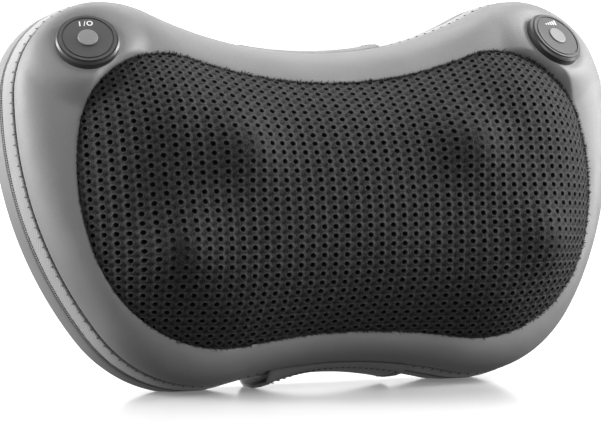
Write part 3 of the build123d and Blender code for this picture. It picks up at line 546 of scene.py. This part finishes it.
def make_front_cover():
    rows = []
    for inset, y in ((4.2, 2.0), (2.6, 1.0), (1.1, 0.35), (0.3, -0.35)):
        loop = outline(SEAM, -inset, RING)
        rows.append(at_depth(loop, y))
    steps = 26
    for step in range(1, steps + 1):
        loop, y = shoulder_row(SHOULDER_LAST * step / steps)
        rows.append(at_depth(loop, y))
    for grow, y in ((-0.5, -COVER_DEPTH + 0.25), (-0.75, -COVER_DEPTH + 0.9), (-0.6, -COVER_DEPTH + 1.7)):
        loop = outline(MESH, grow, RING)
        rows.append(at_depth(loop, y))
    count = len(rows[0])
    points = np.concatenate(rows)
    row_of = np.repeat(np.arange(len(rows)), count)
    # soft fullness between the two sewn edges, with slow waves and puckers at the stitches
    flat = points[:, [0, 2]]
    t = np.clip((row_of - 3) / steps, 0, 1)
    outward = np.tile(normals_of(SEAM_LOOP), (len(rows), 1))
    along, total = arc_lengths(SEAM_LOOP)
    along = np.tile(along, len(rows))
    fullness = np.sin(math.pi * t) ** 0.8 * (0.9 + 0.35 * waves(flat, 60.0, 3))
    pitch = total / round(total / PUCKER_PITCH)
    wander = 1.1 * waves(np.column_stack([along, along * 0]), 38.0, 5)
    pucker = np.cos(2 * math.pi * (along + wander) / pitch) ** 3 * np.exp(-((t / 0.10) ** 2)) * (t > 0) * 0.28
    lift = fullness + pucker
    points[:, 1] -= lift * (0.35 + 0.65 * t)
    points[:, 0] += outward[:, 0] * lift * (1 - t) * 0.25
    points[:, 2] += outward[:, 1] * lift * (1 - t) * 0.25
    for side in (-1, 1):
        origin, normal, right, up = pod_axes(side)
        local = points - origin
        height = local @ normal
        radius = np.hypot(local @ right, local @ up)
        near = (1 - smooth(POD_R, POD_R + 16, radius)) * (row_of > 4) * (row_of < len(rows) - 3)
        seat = POD_SEAT - 0.7 * np.exp(-(((radius - POD_R) / 2.2) ** 2))
        points += np.outer((seat - height) * near, normal)
    faces = ring_faces(len(rows), count)
    cover = new_piece("front_cover_skin", points, faces, "leatherette", ["front_cover"])
    face_outward(cover)
    add_modifier(cover, "SOLIDIFY", thickness=LEATHER_T, offset=-1.0)


# ------------------------------------------------------------------ mesh panel
BUMP_HIGH, BUMP_WIDE = 6.0, 17.0
SQUEEZE_AND_SHADE_WIDE = 8.0
DOME_EDGE = 62.0        # beyond this distance from its edge the dome is level
BUMP_SHIFT = 13.0       # the stretched mesh peaks outside each head's own centre


def head_spots():
    for side in (-1, 1):
        dx, dz = -side * HEAD_ORBIT * math.sin(HEAD_TILT), HEAD_ORBIT * math.cos(HEAD_TILT)
        for sign in (1, -1):
            yield side * ROTOR_X + sign * dx + side * BUMP_SHIFT, ROTOR_Z + sign * dz


def dome_surface(flat):
    """Depth y of the mesh's outer surface over (x, z), and the distance from its edge."""
    inside = mesh_distance(flat)
    reach = np.clip(inside, 0, DOME_EDGE)
    rise = MESH_RISE * (1 - (1 - reach / DOME_REACH) ** DOME_POWER)
    hump = np.zeros(len(flat))
    for x, z in head_spots():
        gap = np.hypot(flat[:, 0] - x, flat[:, 1] - z)
        hump += np.exp(-((gap / BUMP_WIDE) ** 2))
    y = -COVER_DEPTH + 0.4 - rise - BUMP_HIGH * hump * smooth(2, 24, inside) - 0.35 * waves(flat, 70.0, 11)
    return y + 2.6 * smooth(0.4, -1.6, inside), inside


def sewn_places(fabric):
    """Where points of the flat cloth come to lie: it runs down the dome's sides at its full length,
    so the cloth is wider than the opening by the extra run."""
    steps = np.arange(0.0, DOME_EDGE, 0.5)
    slope = MESH_RISE * DOME_POWER / DOME_REACH * (1 - steps / DOME_REACH) ** (DOME_POWER - 1)
    extra = np.sqrt(1 + slope**2) - 1
    run = np.append(np.cumsum(extra[::-1] * 0.5)[::-1], 0.0)
    steps = np.append(steps, DOME_EDGE)

    def spare(inside):
        return np.where(inside < 0, run[0] - extra[0] * inside, np.interp(inside, steps, run))
    flat = fabric.copy()
    for _ in range(16):
        inside = mesh_distance(flat)
        grad = np.column_stack([mesh_distance(flat + move) - mesh_distance(flat - move)
                                for move in (np.array([1.0, 0]), np.array([0, 1.0]))])
        grad /= np.maximum(np.linalg.norm(grad, axis=1), 1e-3)[:, None]
        flat = 0.4 * flat + 0.6 * (fabric + grad * spare(inside)[:, None])
    return flat


def cell_template():
    """One cell of the knit: rings from the bottom of the hole out to the cell's edge.
    Returns (x, z, sink, painted shade) rows of 24 points."""
    sides = []
    for fraction in (-1, -2 / 3, -1 / 3, 0, 1 / 3, 2 / 3):
        sides.append((1.0, fraction))
    square = np.array(sides + [(-f, 1.0) for _, f in sides] + [(-1.0, -f) for _, f in sides]
                      + [(f, -1.0) for _, f in sides])
    angle = np.arctan2(square[:, 1], square[:, 0])
    rings = []
    # the last number of each ring is painted shade: black at the bottom of the hole, none on the raised strand
    # ring
    for radius, sink, shade in ((0.84, 2.3, 1.0), (0.90, 1.2, 1.0), (0.97, 0.50, 0.85), (1.10, 0.12, 0.25),
                                (1.32, 0.0, 0.0), (1.60, 0.18, 0.12)):
        r = HOLE_R * radius
        rings.append(np.column_stack([r * np.cos(angle) * 1.04, r * np.sin(angle) * 0.96,
                                      np.full(24, sink), np.full(24, shade)]))
    edge_x, edge_z = square[:, 0] * CELL_X / 2, square[:, 1] * CELL_Z / 2
    corner = np.hypot(np.abs(edge_x) - CELL_X / 2, np.abs(edge_z) - CELL_Z / 2)
    pit = np.exp(-((corner / 0.62) ** 2))
    between = np.exp(-((edge_z / 0.6) ** 2)) * (np.abs(square[:, 0]) > 0.99)
    # painted shade on the cell's edge: darker in the corner pits, lighter where the strands meet
    rings.append(np.column_stack([edge_x, edge_z, 0.34 + 0.7 * pit - 0.16 * between,
                                  0.45 + 0.47 * pit - 0.25 * between]))
    return rings


def make_mesh_panel():
    rings = cell_template()
    columns, levels = int(160 / CELL_X), int(105 / CELL_Z)
    grid = np.array([(i * CELL_X, j * CELL_Z - 6) for i in range(-columns, columns + 1)
                     for j in range(-levels, levels + 1)])
    keep = mesh_distance(sewn_places(grid)) > -2.4
    centres = grid[keep]
    cell = np.concatenate(rings)
    count, ring_total = 24, len(rings)
    flat = (centres[:, None, :] + cell[None, :, :2]).reshape(-1, 2)
    sink = np.tile(cell[:, 2], len(centres))
    shade = np.tile(cell[:, 3], len(centres))
    quads = ring_faces(ring_total, count)
    faces = (quads[None] + (np.arange(len(centres)) * len(cell))[:, None, None]).reshape(-1, 4)
    floors = np.arange(len(centres))[:, None] * len(cell) + np.arange(count)[None]
    # neighbouring cells share their edge points
    key = np.round(flat * 500).astype(np.int64)
    key = key[:, 0] * 10_000_000 + key[:, 1]
    edge = np.tile(np.arange(len(cell)) >= (ring_total - 1) * count, len(centres))
    key[~edge] = -10**15 - np.arange((~edge).sum())
    _, first, same = np.unique(key, return_index=True, return_inverse=True)
    flat, sink, shade = flat[first], sink[first], shade[first]
    faces, floors = same[faces], same[floors]
    # the knit is a little uneven
    flat = flat + 0.10 * np.column_stack([waves(flat, 9.0, 21, 2), waves(flat, 9.0, 22, 2)])
    flat = sewn_places(flat)
    y, inside = dome_surface(flat)
    step = 1.0
    slope_x, slope_z = [(dome_surface(flat + move)[0] - dome_surface(flat - move)[0]) / (2 * step)
                        for move in (np.array([step, 0]), np.array([0, step]))]
    normal = np.column_stack([-slope_x, np.ones(len(flat)), -slope_z])
    normal /= np.linalg.norm(normal, axis=1)[:, None]
    pressed = np.zeros(len(flat))        # over a head the pile is squeezed and its holes close up
    for x, z in head_spots():
        pressed += np.exp(-((np.hypot(flat[:, 0] - x, flat[:, 1] - z) / SQUEEZE_AND_SHADE_WIDE) ** 2))
    # the strands over each head also get a painted dark patch, part way to black, standing for the bump's shading
    sink, shade = sink * (1 - 0.8 * pressed), np.maximum(shade * (1 - 0.25 * pressed), 0.45 * pressed)
    points = np.column_stack([flat[:, 0], y, flat[:, 1]]) + normal * sink[:, None]
    all_faces = [tuple(face) for face in faces] + [tuple(floor[::-1]) for floor in floors]
    panel = new_piece("mesh_panel_knit", points, all_faces, "air_mesh", ["mesh_panel"])
    # the 'depth' attribute carries the painted shade to the knit material
    layer = panel.data.attributes.new("depth", "FLOAT", "POINT")
    layer.data.foreach_set("value", np.asarray(shade, np.float32)[:len(panel.data.vertices)])


TUFT_R = 0.24
TUFT_GAPS = 0.25        # share of the places along the edge that have no tufts


def make_tufts():
    """Cut ends of the knit that stand up along the sewn edge."""
    points, faces = [], []
    loop = outline(MESH, -0.9, 900)
    out = normals_of(loop)
    for index in range(len(loop)):
        if RNG.uniform() < TUFT_GAPS:
            continue
        for _ in range(2):
            base = loop[index] + RNG.normal(0, 0.35, 2)
            length = RNG.uniform(0.7, 1.7)
            lean_out = RNG.uniform(0.3, 1.0)
            twist = RNG.normal(0, 0.5)
            along = np.array([out[index][1], -out[index][0]])
            tip = base + out[index] * length * lean_out + along * length * twist
            y = -COVER_DEPTH - RNG.uniform(0.0, 0.5)
            first = len(points)
            for centre, depth, radius in ((base, y, TUFT_R),
                                          ((base + tip) / 2, y - length * 0.55, TUFT_R * 0.9),
                                          (tip, y - length * 0.8, TUFT_R * 0.3)):
                points += [(centre[0] + along[0] * radius, depth, centre[1] + along[1] * radius),
                           (centre[0] - along[0] * radius, depth, centre[1] - along[1] * radius),
                           (centre[0] + out[index][0] * radius, depth + radius,
                            centre[1] + out[index][1] * radius)]
            faces += tube_faces(first, 2, 3)
            faces += [(first + 6, first + 7, first + 8), (first + 2, first + 1, first)]
    tufts = new_piece("mesh_edge_tufts", points, faces, "air_mesh")
    layer = tufts.data.attributes.new("depth", "FLOAT", "POINT")
    layer.data.foreach_set("value", np.zeros(len(tufts.data.vertices), np.float32))


# ------------------------------------------------------------------ side strip, seam thread, zip
def loop_piece(name, profile, material, stands_for=(), wobble=0.0):
    """A band round the pillow: profile is (grow, y) rows from front to back."""
    rows = []
    for grow, y in profile:
        loop = outline(SEAM, grow, RING)
        rows.append(at_depth(loop, y))
    points = np.concatenate(rows)
    if wobble:
        out = np.tile(normals_of(SEAM_LOOP), (len(rows), 1))
        push = wobble * waves(points[:, [0, 2]] + points[:, [1, 1]], 30.0, 31)
        points[:, 0] += out[:, 0] * push
        points[:, 2] += out[:, 1] * push
    return new_piece(name, points, ring_faces(len(rows), len(rows[0])), material, stands_for)


def keep_above_floor(piece):
    """The lobes are pressed flat where the pillow stands."""
    for vertex in piece.data.vertices:
        if vertex.co.z < 0:
            vertex.co.z = 0.0


def make_side():
    flare = CLOTH_FLARE
    full = 0.3          # how far the strip bellies out
    profile = [(-3.4, 2.4), (-1.8, 1.9), (-0.5, 1.75), (0.15, 2.3)]
    for step in range(1, 9):
        t = step / 9
        profile.append((0.15 + (flare - 0.15) * t + full * math.sin(math.pi * t),
                        2.3 + (STRIP_DEPTH - 2.8) * t))
    profile += [(flare + 0.35, STRIP_DEPTH - 0.5), (flare + 0.1, STRIP_DEPTH + 0.1),
                (flare - 0.7, STRIP_DEPTH + 0.4)]
    strip = loop_piece("side_strip_cloth", profile, "woven_strip", ["side_strip"], wobble=0.12)
    keep_above_floor(strip)
    face_outward(strip)
    add_modifier(strip, "SOLIDIFY", thickness=STRIP_T, offset=-1.0)
    mid = STRIP_DEPTH + ZIP_WIDTH / 2
    profile = [(flare - 1.2, STRIP_DEPTH - 0.3), (flare - 0.55, STRIP_DEPTH + 0.1), (flare - 0.4, mid - 0.9),
               (flare - 0.4, mid + 0.9), (flare - 0.55, STRIP_DEPTH + ZIP_WIDTH - 0.1),
               (flare - 1.2, STRIP_DEPTH + ZIP_WIDTH + 0.3)]
    tape = loop_piece("zip_tape_cloth", profile, "zip_tape", ["zip_tape"])
    keep_above_floor(tape)
    face_outward(tape)
    add_modifier(tape, "SOLIDIFY", thickness=TAPE_T, offset=-1.0)


def beads(name, loop, y, out, pitch, size, material, stands_for=()):
    """Small rounded bricks along a loop: stitches, zip teeth coloured as painted shadow, and strip gathers
    coloured as painted shade. size is along, deep, proud.
    """
    at, total = arc_lengths(loop)
    number = int(total / pitch)
    points, faces = [], []
    closed = np.vstack([loop, loop[:1]])
    stops = np.append(at, total)
    for index in range(number):
        where = index * total / number
        x, z = np.interp(where, stops, closed[:, 0]), np.interp(where, stops, closed[:, 1])
        k = int(np.searchsorted(at, where, side="right") - 1) % len(loop)
        normal = out[k]
        along = np.array([normal[1], -normal[0]])
        first = len(points)
        length, deep, proud = size
        for level, share in ((-0.6, 1.0), (0.35, 1.0), (0.9, 0.62)):
            for da, dy in ((-1, -1), (1, -1), (1, 1), (-1, 1)):
                offset = along * da * length / 2 * share + normal * (proud * level)
                points.append((x + offset[0], y + dy * deep / 2 * share, z + offset[1]))
        faces += tube_faces(first, 2, 4)
        faces.append(tuple(first + 8 + k for k in range(4)))
        faces.append(tuple(first + 3 - k for k in range(4)))
    return new_piece(name, points, faces, material, stands_for)


COIL_PITCH, COIL_BEAD = 1.1, (0.6, 0.36, 0.4)


def make_seams():
    out = normals_of(SEAM_LOOP)
    mid = STRIP_DEPTH + ZIP_WIDTH / 2
    flare = CLOTH_FLARE
    loop = outline(SEAM, flare, RING)
    # painted shadow: two rows of dark beads stand for the shadows along both sides of the coil, whose own grey is
    # the tape-coloured ridge
    front = beads("zip_coil_shadow_front", loop, mid - 0.85, out, COIL_PITCH, COIL_BEAD, "zip_coil", ["zip_teeth"])
    back = beads("zip_coil_shadow_back", loop, mid + 0.85, out, COIL_PITCH, COIL_BEAD, "zip_coil", ["zip_teeth"])
    ridge = loop_piece("zip_coil_ridge", [(flare - 0.5, mid - 0.66), (flare - 0.05, mid - 0.5),
                                          (flare + 0.12, mid), (flare - 0.05, mid + 0.5),
                                          (flare - 0.5, mid + 0.66)],
                       "zip_tape")
    for piece in (front, back, ridge):
        keep_above_floor(piece)
    beads("front_seam_stitches", outline(SEAM, -0.55, RING), 0.8, out, 2.5, (2.35, 0.9, 0.5), "thread")
    # painted shade: short dark thread-coloured bars across the strip beside the seam stand for the shade in its
    # gathers
    beads("strip_gather_shade", outline(SEAM, 0.3, RING), 3.1, out, 5.0, (0.4, 2.2, 0.25), "thread")


# ------------------------------------------------------------------ back panel and strap
SPINE_SHARE, SPINE_END, SPINE_Z = 0.78, 98, -8.0      # the middle line that the rings close on
CROWN, CROWN_REACH = 3.2, 60

def make_back():
    rows = []
    flare = STRIP_FLARE - 0.6
    y0 = STRIP_DEPTH + ZIP_WIDTH
    for grow, y in ((flare - 1.6, y0 - 0.2), (flare - 0.5, y0), (flare + 0.1, y0 + 0.35),
                    (flare + 0.35, y0 + 1.2), (flare + 0.6, y0 + 4), (flare + 0.5, BACK_Y - BACK_ROUND)):
        loop = outline(SEAM, grow, RING)
        rows.append(at_depth(loop, y))
    for step in range(1, 9):
        angle = math.pi / 2 * step / 8
        inset = BACK_ROUND * (1 - math.cos(angle))
        loop = outline(SEAM, flare + 0.5 - inset, RING)
        rows.append(at_depth(loop, BACK_Y - BACK_ROUND * (1 - math.sin(angle))))
    edge = rows[-1]
    middle_x = np.clip(edge[:, 0] * SPINE_SHARE, -SPINE_END, SPINE_END)
    inner = 22
    for step in range(1, inner):
        t = step / inner
        x = edge[:, 0] * (1 - t) + middle_x * t
        z = edge[:, 2] * (1 - t) + SPINE_Z * t
        rows.append(np.column_stack([x, np.full(len(x), BACK_Y), z]))
    count = len(rows[0])
    points = np.concatenate(rows)
    row_of = np.repeat(np.arange(len(rows)), count)
    flat = points[:, [0, 2]]
    outer = outline(SEAM, flare + 0.5 - BACK_ROUND, RING)
    inside = np.clip(inside_distance(outer, flat), 0, CROWN_REACH)
    crown = CROWN * (1 - (1 - inside / CROWN_REACH) ** 2) * (row_of >= 14)
    strap = smooth(STRAP_HALF + 16, STRAP_HALF - 6, np.abs(flat[:, 0]))
    points[:, 1] += crown * (1 - strap) - 1.0 * strap * (row_of >= 10)
    points[:, 1] += 0.5 * waves(flat, 55.0, 41) * smooth(0, 12, inside) * (1 - strap)
    from_inlet = np.hypot(flat[:, 0] - INLET_AT[0], flat[:, 1] - INLET_AT[1])
    dished = smooth(INLET_DISH, INLET_RIM, from_inlet) * (row_of >= 14)
    points[:, 1] = points[:, 1] * (1 - dished) + (BACK_Y - 0.2) * dished
    inlet_open = from_inlet < INLET_OPEN
    faces = [face for face in ring_faces(len(rows), count) if not any(inlet_open[v] for v in face)]
    first = len(points) - count             # the last ring lies along the middle line and is filled
    rim = [Vector(p) for p in flat[first:]]
    _, _, cap, origins, _, _ = delaunay_2d_cdt(rim, [], [list(range(count))], 1, 1e-6)
    faces += [tuple(first + origins[v][0] for v in reversed(face)) for face in cap]
    panel = new_piece("back_panel_skin", points, faces, "back_leatherette", ["back_panel"])
    keep_above_floor(panel)
    face_outward(panel)
    add_modifier(panel, "SOLIDIFY", thickness=LEATHER_T, offset=-1.0)


STRAP_CLEAR = 1.4        # off the back panel
STRAP_BEND = 15.0        # radius where it turns over the back's edges
STITCH_SIDES = 6          # points round a stitch


def stitch(points, faces, rings):
    """A short rounded bar through rings of STITCH_SIDES points."""
    first = len(points)
    for ring in rings:
        points += ring
    faces += tube_faces(first, len(rings) - 1, STITCH_SIDES)


def make_strap():
    """One band sewn into the seam below, round the back, and into the seam above."""
    columns = np.linspace(-STRAP_HALF, STRAP_HALF, 25)
    half = outline(SEAM, 0, 2 * RING)
    upper = half[half[:, 1] > 40]
    lower = half[half[:, 1] < -60]
    upper = upper[np.argsort(upper[:, 0])]
    lower = lower[np.argsort(lower[:, 0])]
    paths = []
    for x in columns:
        top = np.interp(x, upper[:, 0], upper[:, 1])
        low = np.interp(x, lower[:, 0], lower[:, 1])
        stand = 1.9 + (3.8 if x < 0 else 1.4) * (abs(x) / STRAP_HALF) ** 2
        back = BACK_Y + STRAP_CLEAR
        path = [(0.9, low + 0.4), (0.6, low - 0.5), (1.4, low - 1.4), (5, low - stand),
                (12, low - stand - 0.5), (18, low - stand - 0.3)]
        r = STRAP_BEND
        bend = [math.pi / 2 * step / 7 for step in range(8)]
        path += [(back - r + r * math.sin(angle), low - stand + r * (1 - math.cos(angle))) for angle in bend]
        path += [(back, (low + r) * (1 - t) + (top - r) * t) for t in np.linspace(0.06, 0.94, 14)]
        path += [(back - r + r * math.sin(angle), top + 2.7 - r * (1 - math.cos(angle)))
                 for angle in reversed(bend)]
        path += [(18, top + 2.7), (12, top + 2.5), (5, top + 1.7), (2.2, top + 0.8), (1.0, top + 0.2),
                 (0.9, top - 0.8)]
        paths.append([(x, y, z) for y, z in path])
    rows = len(paths[0])
    points = np.array(paths)
    gentle = waves(points.reshape(-1, 3)[:, [0, 2]], 45.0, 51).reshape(points.shape[:2]) * 0.35
    points[:, 8:-8, 1] += gentle[:, 8:-8]
    faces = []
    for i in range(len(columns) - 1):
        for j in range(rows - 1):
            a = i * rows + j
            faces.append((a, a + 1, a + rows + 1, a + rows))
    strap = new_piece("back_strap_band", points.reshape(-1, 3), faces, "back_leatherette", ["back_strap"])
    add_modifier(strap, "SOLIDIFY", thickness=STRAP_T, offset=0.0)
    bevel = add_modifier(strap, "BEVEL", width=0.0005, segments=2, limit_method="ANGLE")
    bevel.angle_limit = math.radians(50)
    # a line of stitches just inside each long edge, and one along the sewn end below
    stitches, stitch_faces = [], []
    turns = [2 * math.pi * k / STITCH_SIDES for k in range(STITCH_SIDES)]
    for edge in (1, len(columns) - 2):
        line = points[edge]
        lengths = np.concatenate([[0], np.cumsum(np.linalg.norm(np.diff(line, axis=0), axis=1))])
        for start in np.arange(6, lengths[-1] - 6, 4.0):
            ends = [np.array([np.interp(s, lengths, line[:, k]) for k in range(3)])
                    for s in (start, start + 2.6)]
            direction = (ends[1] - ends[0]) / np.linalg.norm(ends[1] - ends[0])
            out = np.cross(direction, (1, 0, 0))
            if out[1] < -0.2:
                out = -out
            if abs(out[1]) <= 0.2:
                out = np.array([0, 0, np.sign(ends[0][2])])
            across = np.array([1, 0, 0])
            ring = [across * math.cos(a) * 0.35 + out * (math.sin(a) * 0.3 + 0.85) for a in turns]
            places = ((ends[0], 0.4), (ends[0] + direction * 0.5, 1.0), (ends[1] - direction * 0.5, 1.0),
                      (ends[1], 0.4))
            stitch(stitches, stitch_faces, [[end + offset * np.array([share, 1, 1]) for offset in ring]
                                            for end, share in places])
    sewn = points[:, 3]                   # just outside the seam below
    for x in np.arange(-STRAP_HALF + 2, STRAP_HALF - 3, 3.2):
        y, z = [np.interp(x, columns, sewn[:, k]) for k in (1, 2)]
        stitch(stitches, stitch_faces, [
            [(x + dx, y - 0.5 + 0.3 * share * math.cos(a), z - 0.75 + 0.3 * share * math.sin(a))
             for a in turns]
            for dx, share in ((0, 0.4), (0.4, 1.0), (1.6, 1.0), (2.0, 0.4))])
    new_piece("back_strap_stitches", stitches, stitch_faces, "thread")


# ------------------------------------------------------------------ pods: printed marks
def make_marks():
    """Generic white marks above each button: a bar and ring on the left, rising bars on the right."""
    for side, name in ((-1, "left"), (1, "right")):
        origin, normal, right, up = pod_axes(side)
        shapes = []
        if side < 0:
            shapes.append([(-3.1, 7.4), (-2.5, 7.4), (-2.5, 10.2), (-3.1, 10.2)])
            turn = np.linspace(0, 2 * math.pi, 25)
            ring, core = [[(1.9 + r * math.cos(a), 8.8 + r * math.sin(a)) for a in turn] for r in (1.5, 0.95)]
            for k in range(24):
                shapes.append([ring[k], ring[k + 1], core[k + 1], core[k]])
            shapes.append([(-1.1, 7.3), (-0.7, 7.3), (0.0, 10.3), (-0.4, 10.3)])
        else:
            for k in range(5):
                x = -3.6 + 1.7 * k
                shapes.append([(x, 7.2), (x + 0.8, 7.2), (x + 0.8, 7.9 + 0.55 * k), (x, 7.9 + 0.55 * k)])
        points, faces = [], []
        for shape in shapes:
            first = len(points)
            for lift in (0.02, 0.07):
                points += [origin + right * x + up * z + normal * lift for x, z in shape]
            number = len(shape)
            faces.append(tuple(first + number + k for k in range(number)))
            faces.append(tuple(first + number - 1 - k for k in range(number)))
            for k in range(number):
                j = (k + 1) % number
                faces.append((first + k, first + j, first + number + j, first + number + k))
        marks = new_piece(name + "_pod_marks", points, faces, "print")
        for polygon in marks.data.polygons:
            polygon.use_smooth = False


# ------------------------------------------------------------------ foam inside
FOAM_VOXEL = 0.003
FOAM_SINK = 0.6          # below the skin, and POD_SINK more where a pod presses
POD_SINK = 3.5


def make_foam():
    """Cut foam with softened edges, hollowed where the pods press the cover in."""
    for name in ("front_padding", "side_padding", "back_padding"):
        source = frame["nodes"][name]
        rough = add_object(name + "_rough", source.data.copy())
        add_modifier(rough, "REMESH", mode="VOXEL", voxel_size=FOAM_VOXEL)
        add_modifier(rough, "SMOOTH", iterations=4)
        bpy.context.view_layer.update()
        mesh = bpy.data.meshes.new_from_object(rough.evaluated_get(bpy.context.evaluated_depsgraph_get()))
        bpy.data.objects.remove(rough)
        count = len(mesh.vertices)
        points, normals = np.empty(count * 3), np.empty(count * 3)
        mesh.vertices.foreach_get("co", points)
        mesh.vertices.foreach_get("normal", normals)
        points = (points.reshape(-1, 3) - np.array(ORIGIN)) @ AXES.T / MM
        points -= normals.reshape(-1, 3) @ AXES.T * FOAM_SINK
        for side in (-1, 1):
            origin, normal, right, up = pod_axes(side)
            local = points - origin
            height = local @ normal
            near = np.hypot(local @ right, local @ up) < POD_R + 14
            points -= np.outer(np.where(near, np.maximum(height - (POD_SEAT - POD_SINK), 0), 0), normal)
        mesh.materials.clear()
        mesh.vertices.foreach_set("co", place(points).ravel())
        mesh.materials.append(MATERIALS["foam"])
        mesh.polygons.foreach_set("use_smooth", [True] * len(mesh.polygons))
        piece = add_object(name + "_foam", mesh)
        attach(piece, "root")
        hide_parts(name)


# ------------------------------------------------------------------ stage, light and camera
CAMERA_TURN, CAMERA_RISE = math.radians(26.344), math.radians(2.8)
CAMERA_AWAY = 1848.0             # millimetres from the pillow's origin
CAMERA_LENS = 227.6              # on a 36 mm sensor
AIM_RIGHT, AIM_UP = -11.54, -13.6


def make_camera():
    sin_t, cos_t = math.sin(CAMERA_TURN), math.cos(CAMERA_TURN)
    sin_e, cos_e = math.sin(CAMERA_RISE), math.cos(CAMERA_RISE)
    right = Vector((cos_t, -sin_t, 0))
    toward_camera = Vector((-sin_t * cos_e, -cos_t * cos_e, sin_e))
    up = Vector((sin_t * sin_e, cos_t * sin_e, cos_e))
    data = bpy.data.cameras.new("camera")
    data.lens = CAMERA_LENS
    data.sensor_width = 36.0
    data.clip_end = 20.0
    camera = add_object("camera", data)
    camera.location = ORIGIN + toward_camera * CAMERA_AWAY * MM
    aim = ORIGIN + (right * AIM_RIGHT + up * AIM_UP) * MM
    camera.rotation_mode = "QUATERNION"
    camera.rotation_quaternion = (aim - camera.location).to_track_quat("-Z", "Y")
    bpy.context.scene.camera = camera


def area_light(name, location, target, size, power):
    data = bpy.data.lights.new(name, "AREA")
    data.shape = "RECTANGLE"
    data.size, data.size_y = size
    data.energy = power
    lamp = add_object(name, data)
    lamp.location = location
    lamp.rotation_mode = "QUATERNION"
    lamp.rotation_quaternion = (Vector(target) - Vector(location)).to_track_quat("-Z", "Y")


FLOOR_SIZE, FLOOR_GLOW = 12.0, 0.12
FLOOR_DROP = 0.0002
WORLD_LIGHT = 0.16
WALL_R, WALL_HIGH, WALL_SIDES = 6, 4.0, 48
# name, place, aim, size and power of each lamp
LIGHTS = [("top_softbox", (0.0, 0.45, 1.3), (0, 0, 0.1), (1.8, 0.9), 20),
          ("left_softbox", (-1.3, 0.55, 0.5), (-0.05, 0, 0.09), (0.5, 1.1), 40),
          ("right_softbox", (1.3, -0.3, 0.6), (0.05, 0, 0.09), (0.5, 1.1), 38),
          ("front_fill", (-0.2, -1.6, 1.0), (0, 0, 0.08), (1.2, 0.8), 15)]


def stage_piece(name, points, faces):
    mesh = bpy.data.meshes.new(name)
    mesh.from_pydata(points, [], faces)
    piece = add_object(name, mesh)
    material, tree, shader = new_material(name)
    set_values(shader, {"Emission Color": (1, 1, 1, 1)})
    mesh.materials.append(material)
    piece.visible_diffuse = False
    return piece, tree, shader


def make_stage():
    """A glowing floor whose glow is turned down near the pillow, a painted darker area round it, in a round white
    wall.
    """
    square = [(x * FLOOR_SIZE, y * FLOOR_SIZE, 0) for x, y in ((-1, -1), (1, -1), (1, 1), (-1, 1))]
    floor, tree, shader = stage_piece("floor", square, [(0, 1, 2, 3)])
    # painted shade: the glow rises from FLOOR_GLOW near the floor's middle, where the pillow stands, to full
    # further out
    away = node(tree, "ShaderNodeVectorMath", {0: coords(tree)}, operation="LENGTH").outputs["Value"]
    glow = node(tree, "ShaderNodeMapRange", {"Value": away, "From Min": 0.22, "From Max": 0.9,
                                             "To Min": FLOOR_GLOW, "To Max": 1.0},
                interpolation_type="SMOOTHSTEP")
    set_values(shader, {"Base Color": (0.82, 0.82, 0.82, 1), "Roughness": 0.14})
    tree.links.new(glow.outputs[0], shader.inputs["Emission Strength"])
    floor.location.z = -FLOOR_DROP
    floor.visible_glossy = False
    corners = [(WALL_R * math.cos(a), WALL_R * math.sin(a))
               for a in np.linspace(0, 2 * math.pi, WALL_SIDES + 1)[:-1]]
    wall = [(x, y, z) for z in (-0.01, WALL_HIGH) for x, y in corners]
    _, _, wall_shader = stage_piece("studio_wall", wall, ring_faces(2, WALL_SIDES).tolist())
    set_values(wall_shader, {"Emission Strength": 1.0})
    for name, place_at, aim_at, size, power in LIGHTS:
        area_light(name, place_at, aim_at, size, power)
    world = bpy.data.worlds.new("studio")
    bpy.context.scene.world = world
    world.use_nodes = True
    tree = world.node_tree
    back = tree.nodes["Background"]
    back.inputs[0].default_value = (1, 1, 1, 1)
    back.inputs[1].default_value = WORLD_LIGHT
    seen = node(tree, "ShaderNodeBackground", {0: (1, 1, 1, 1), 1: 1.0})
    path = node(tree, "ShaderNodeLightPath")
    mixed = node(tree, "ShaderNodeMixShader", {0: path.outputs["Is Camera Ray"], 1: back.outputs[0],
                                               2: seen.outputs[0]})
    tree.links.new(mixed.outputs[0], tree.nodes["World Output"].inputs[0])
    bpy.context.scene.view_settings.view_transform = "Standard"


make_camera()
make_front_cover()
make_mesh_panel()
make_tufts()
make_side()
make_seams()
make_back()
make_strap()
make_marks()
make_foam()
make_stage()
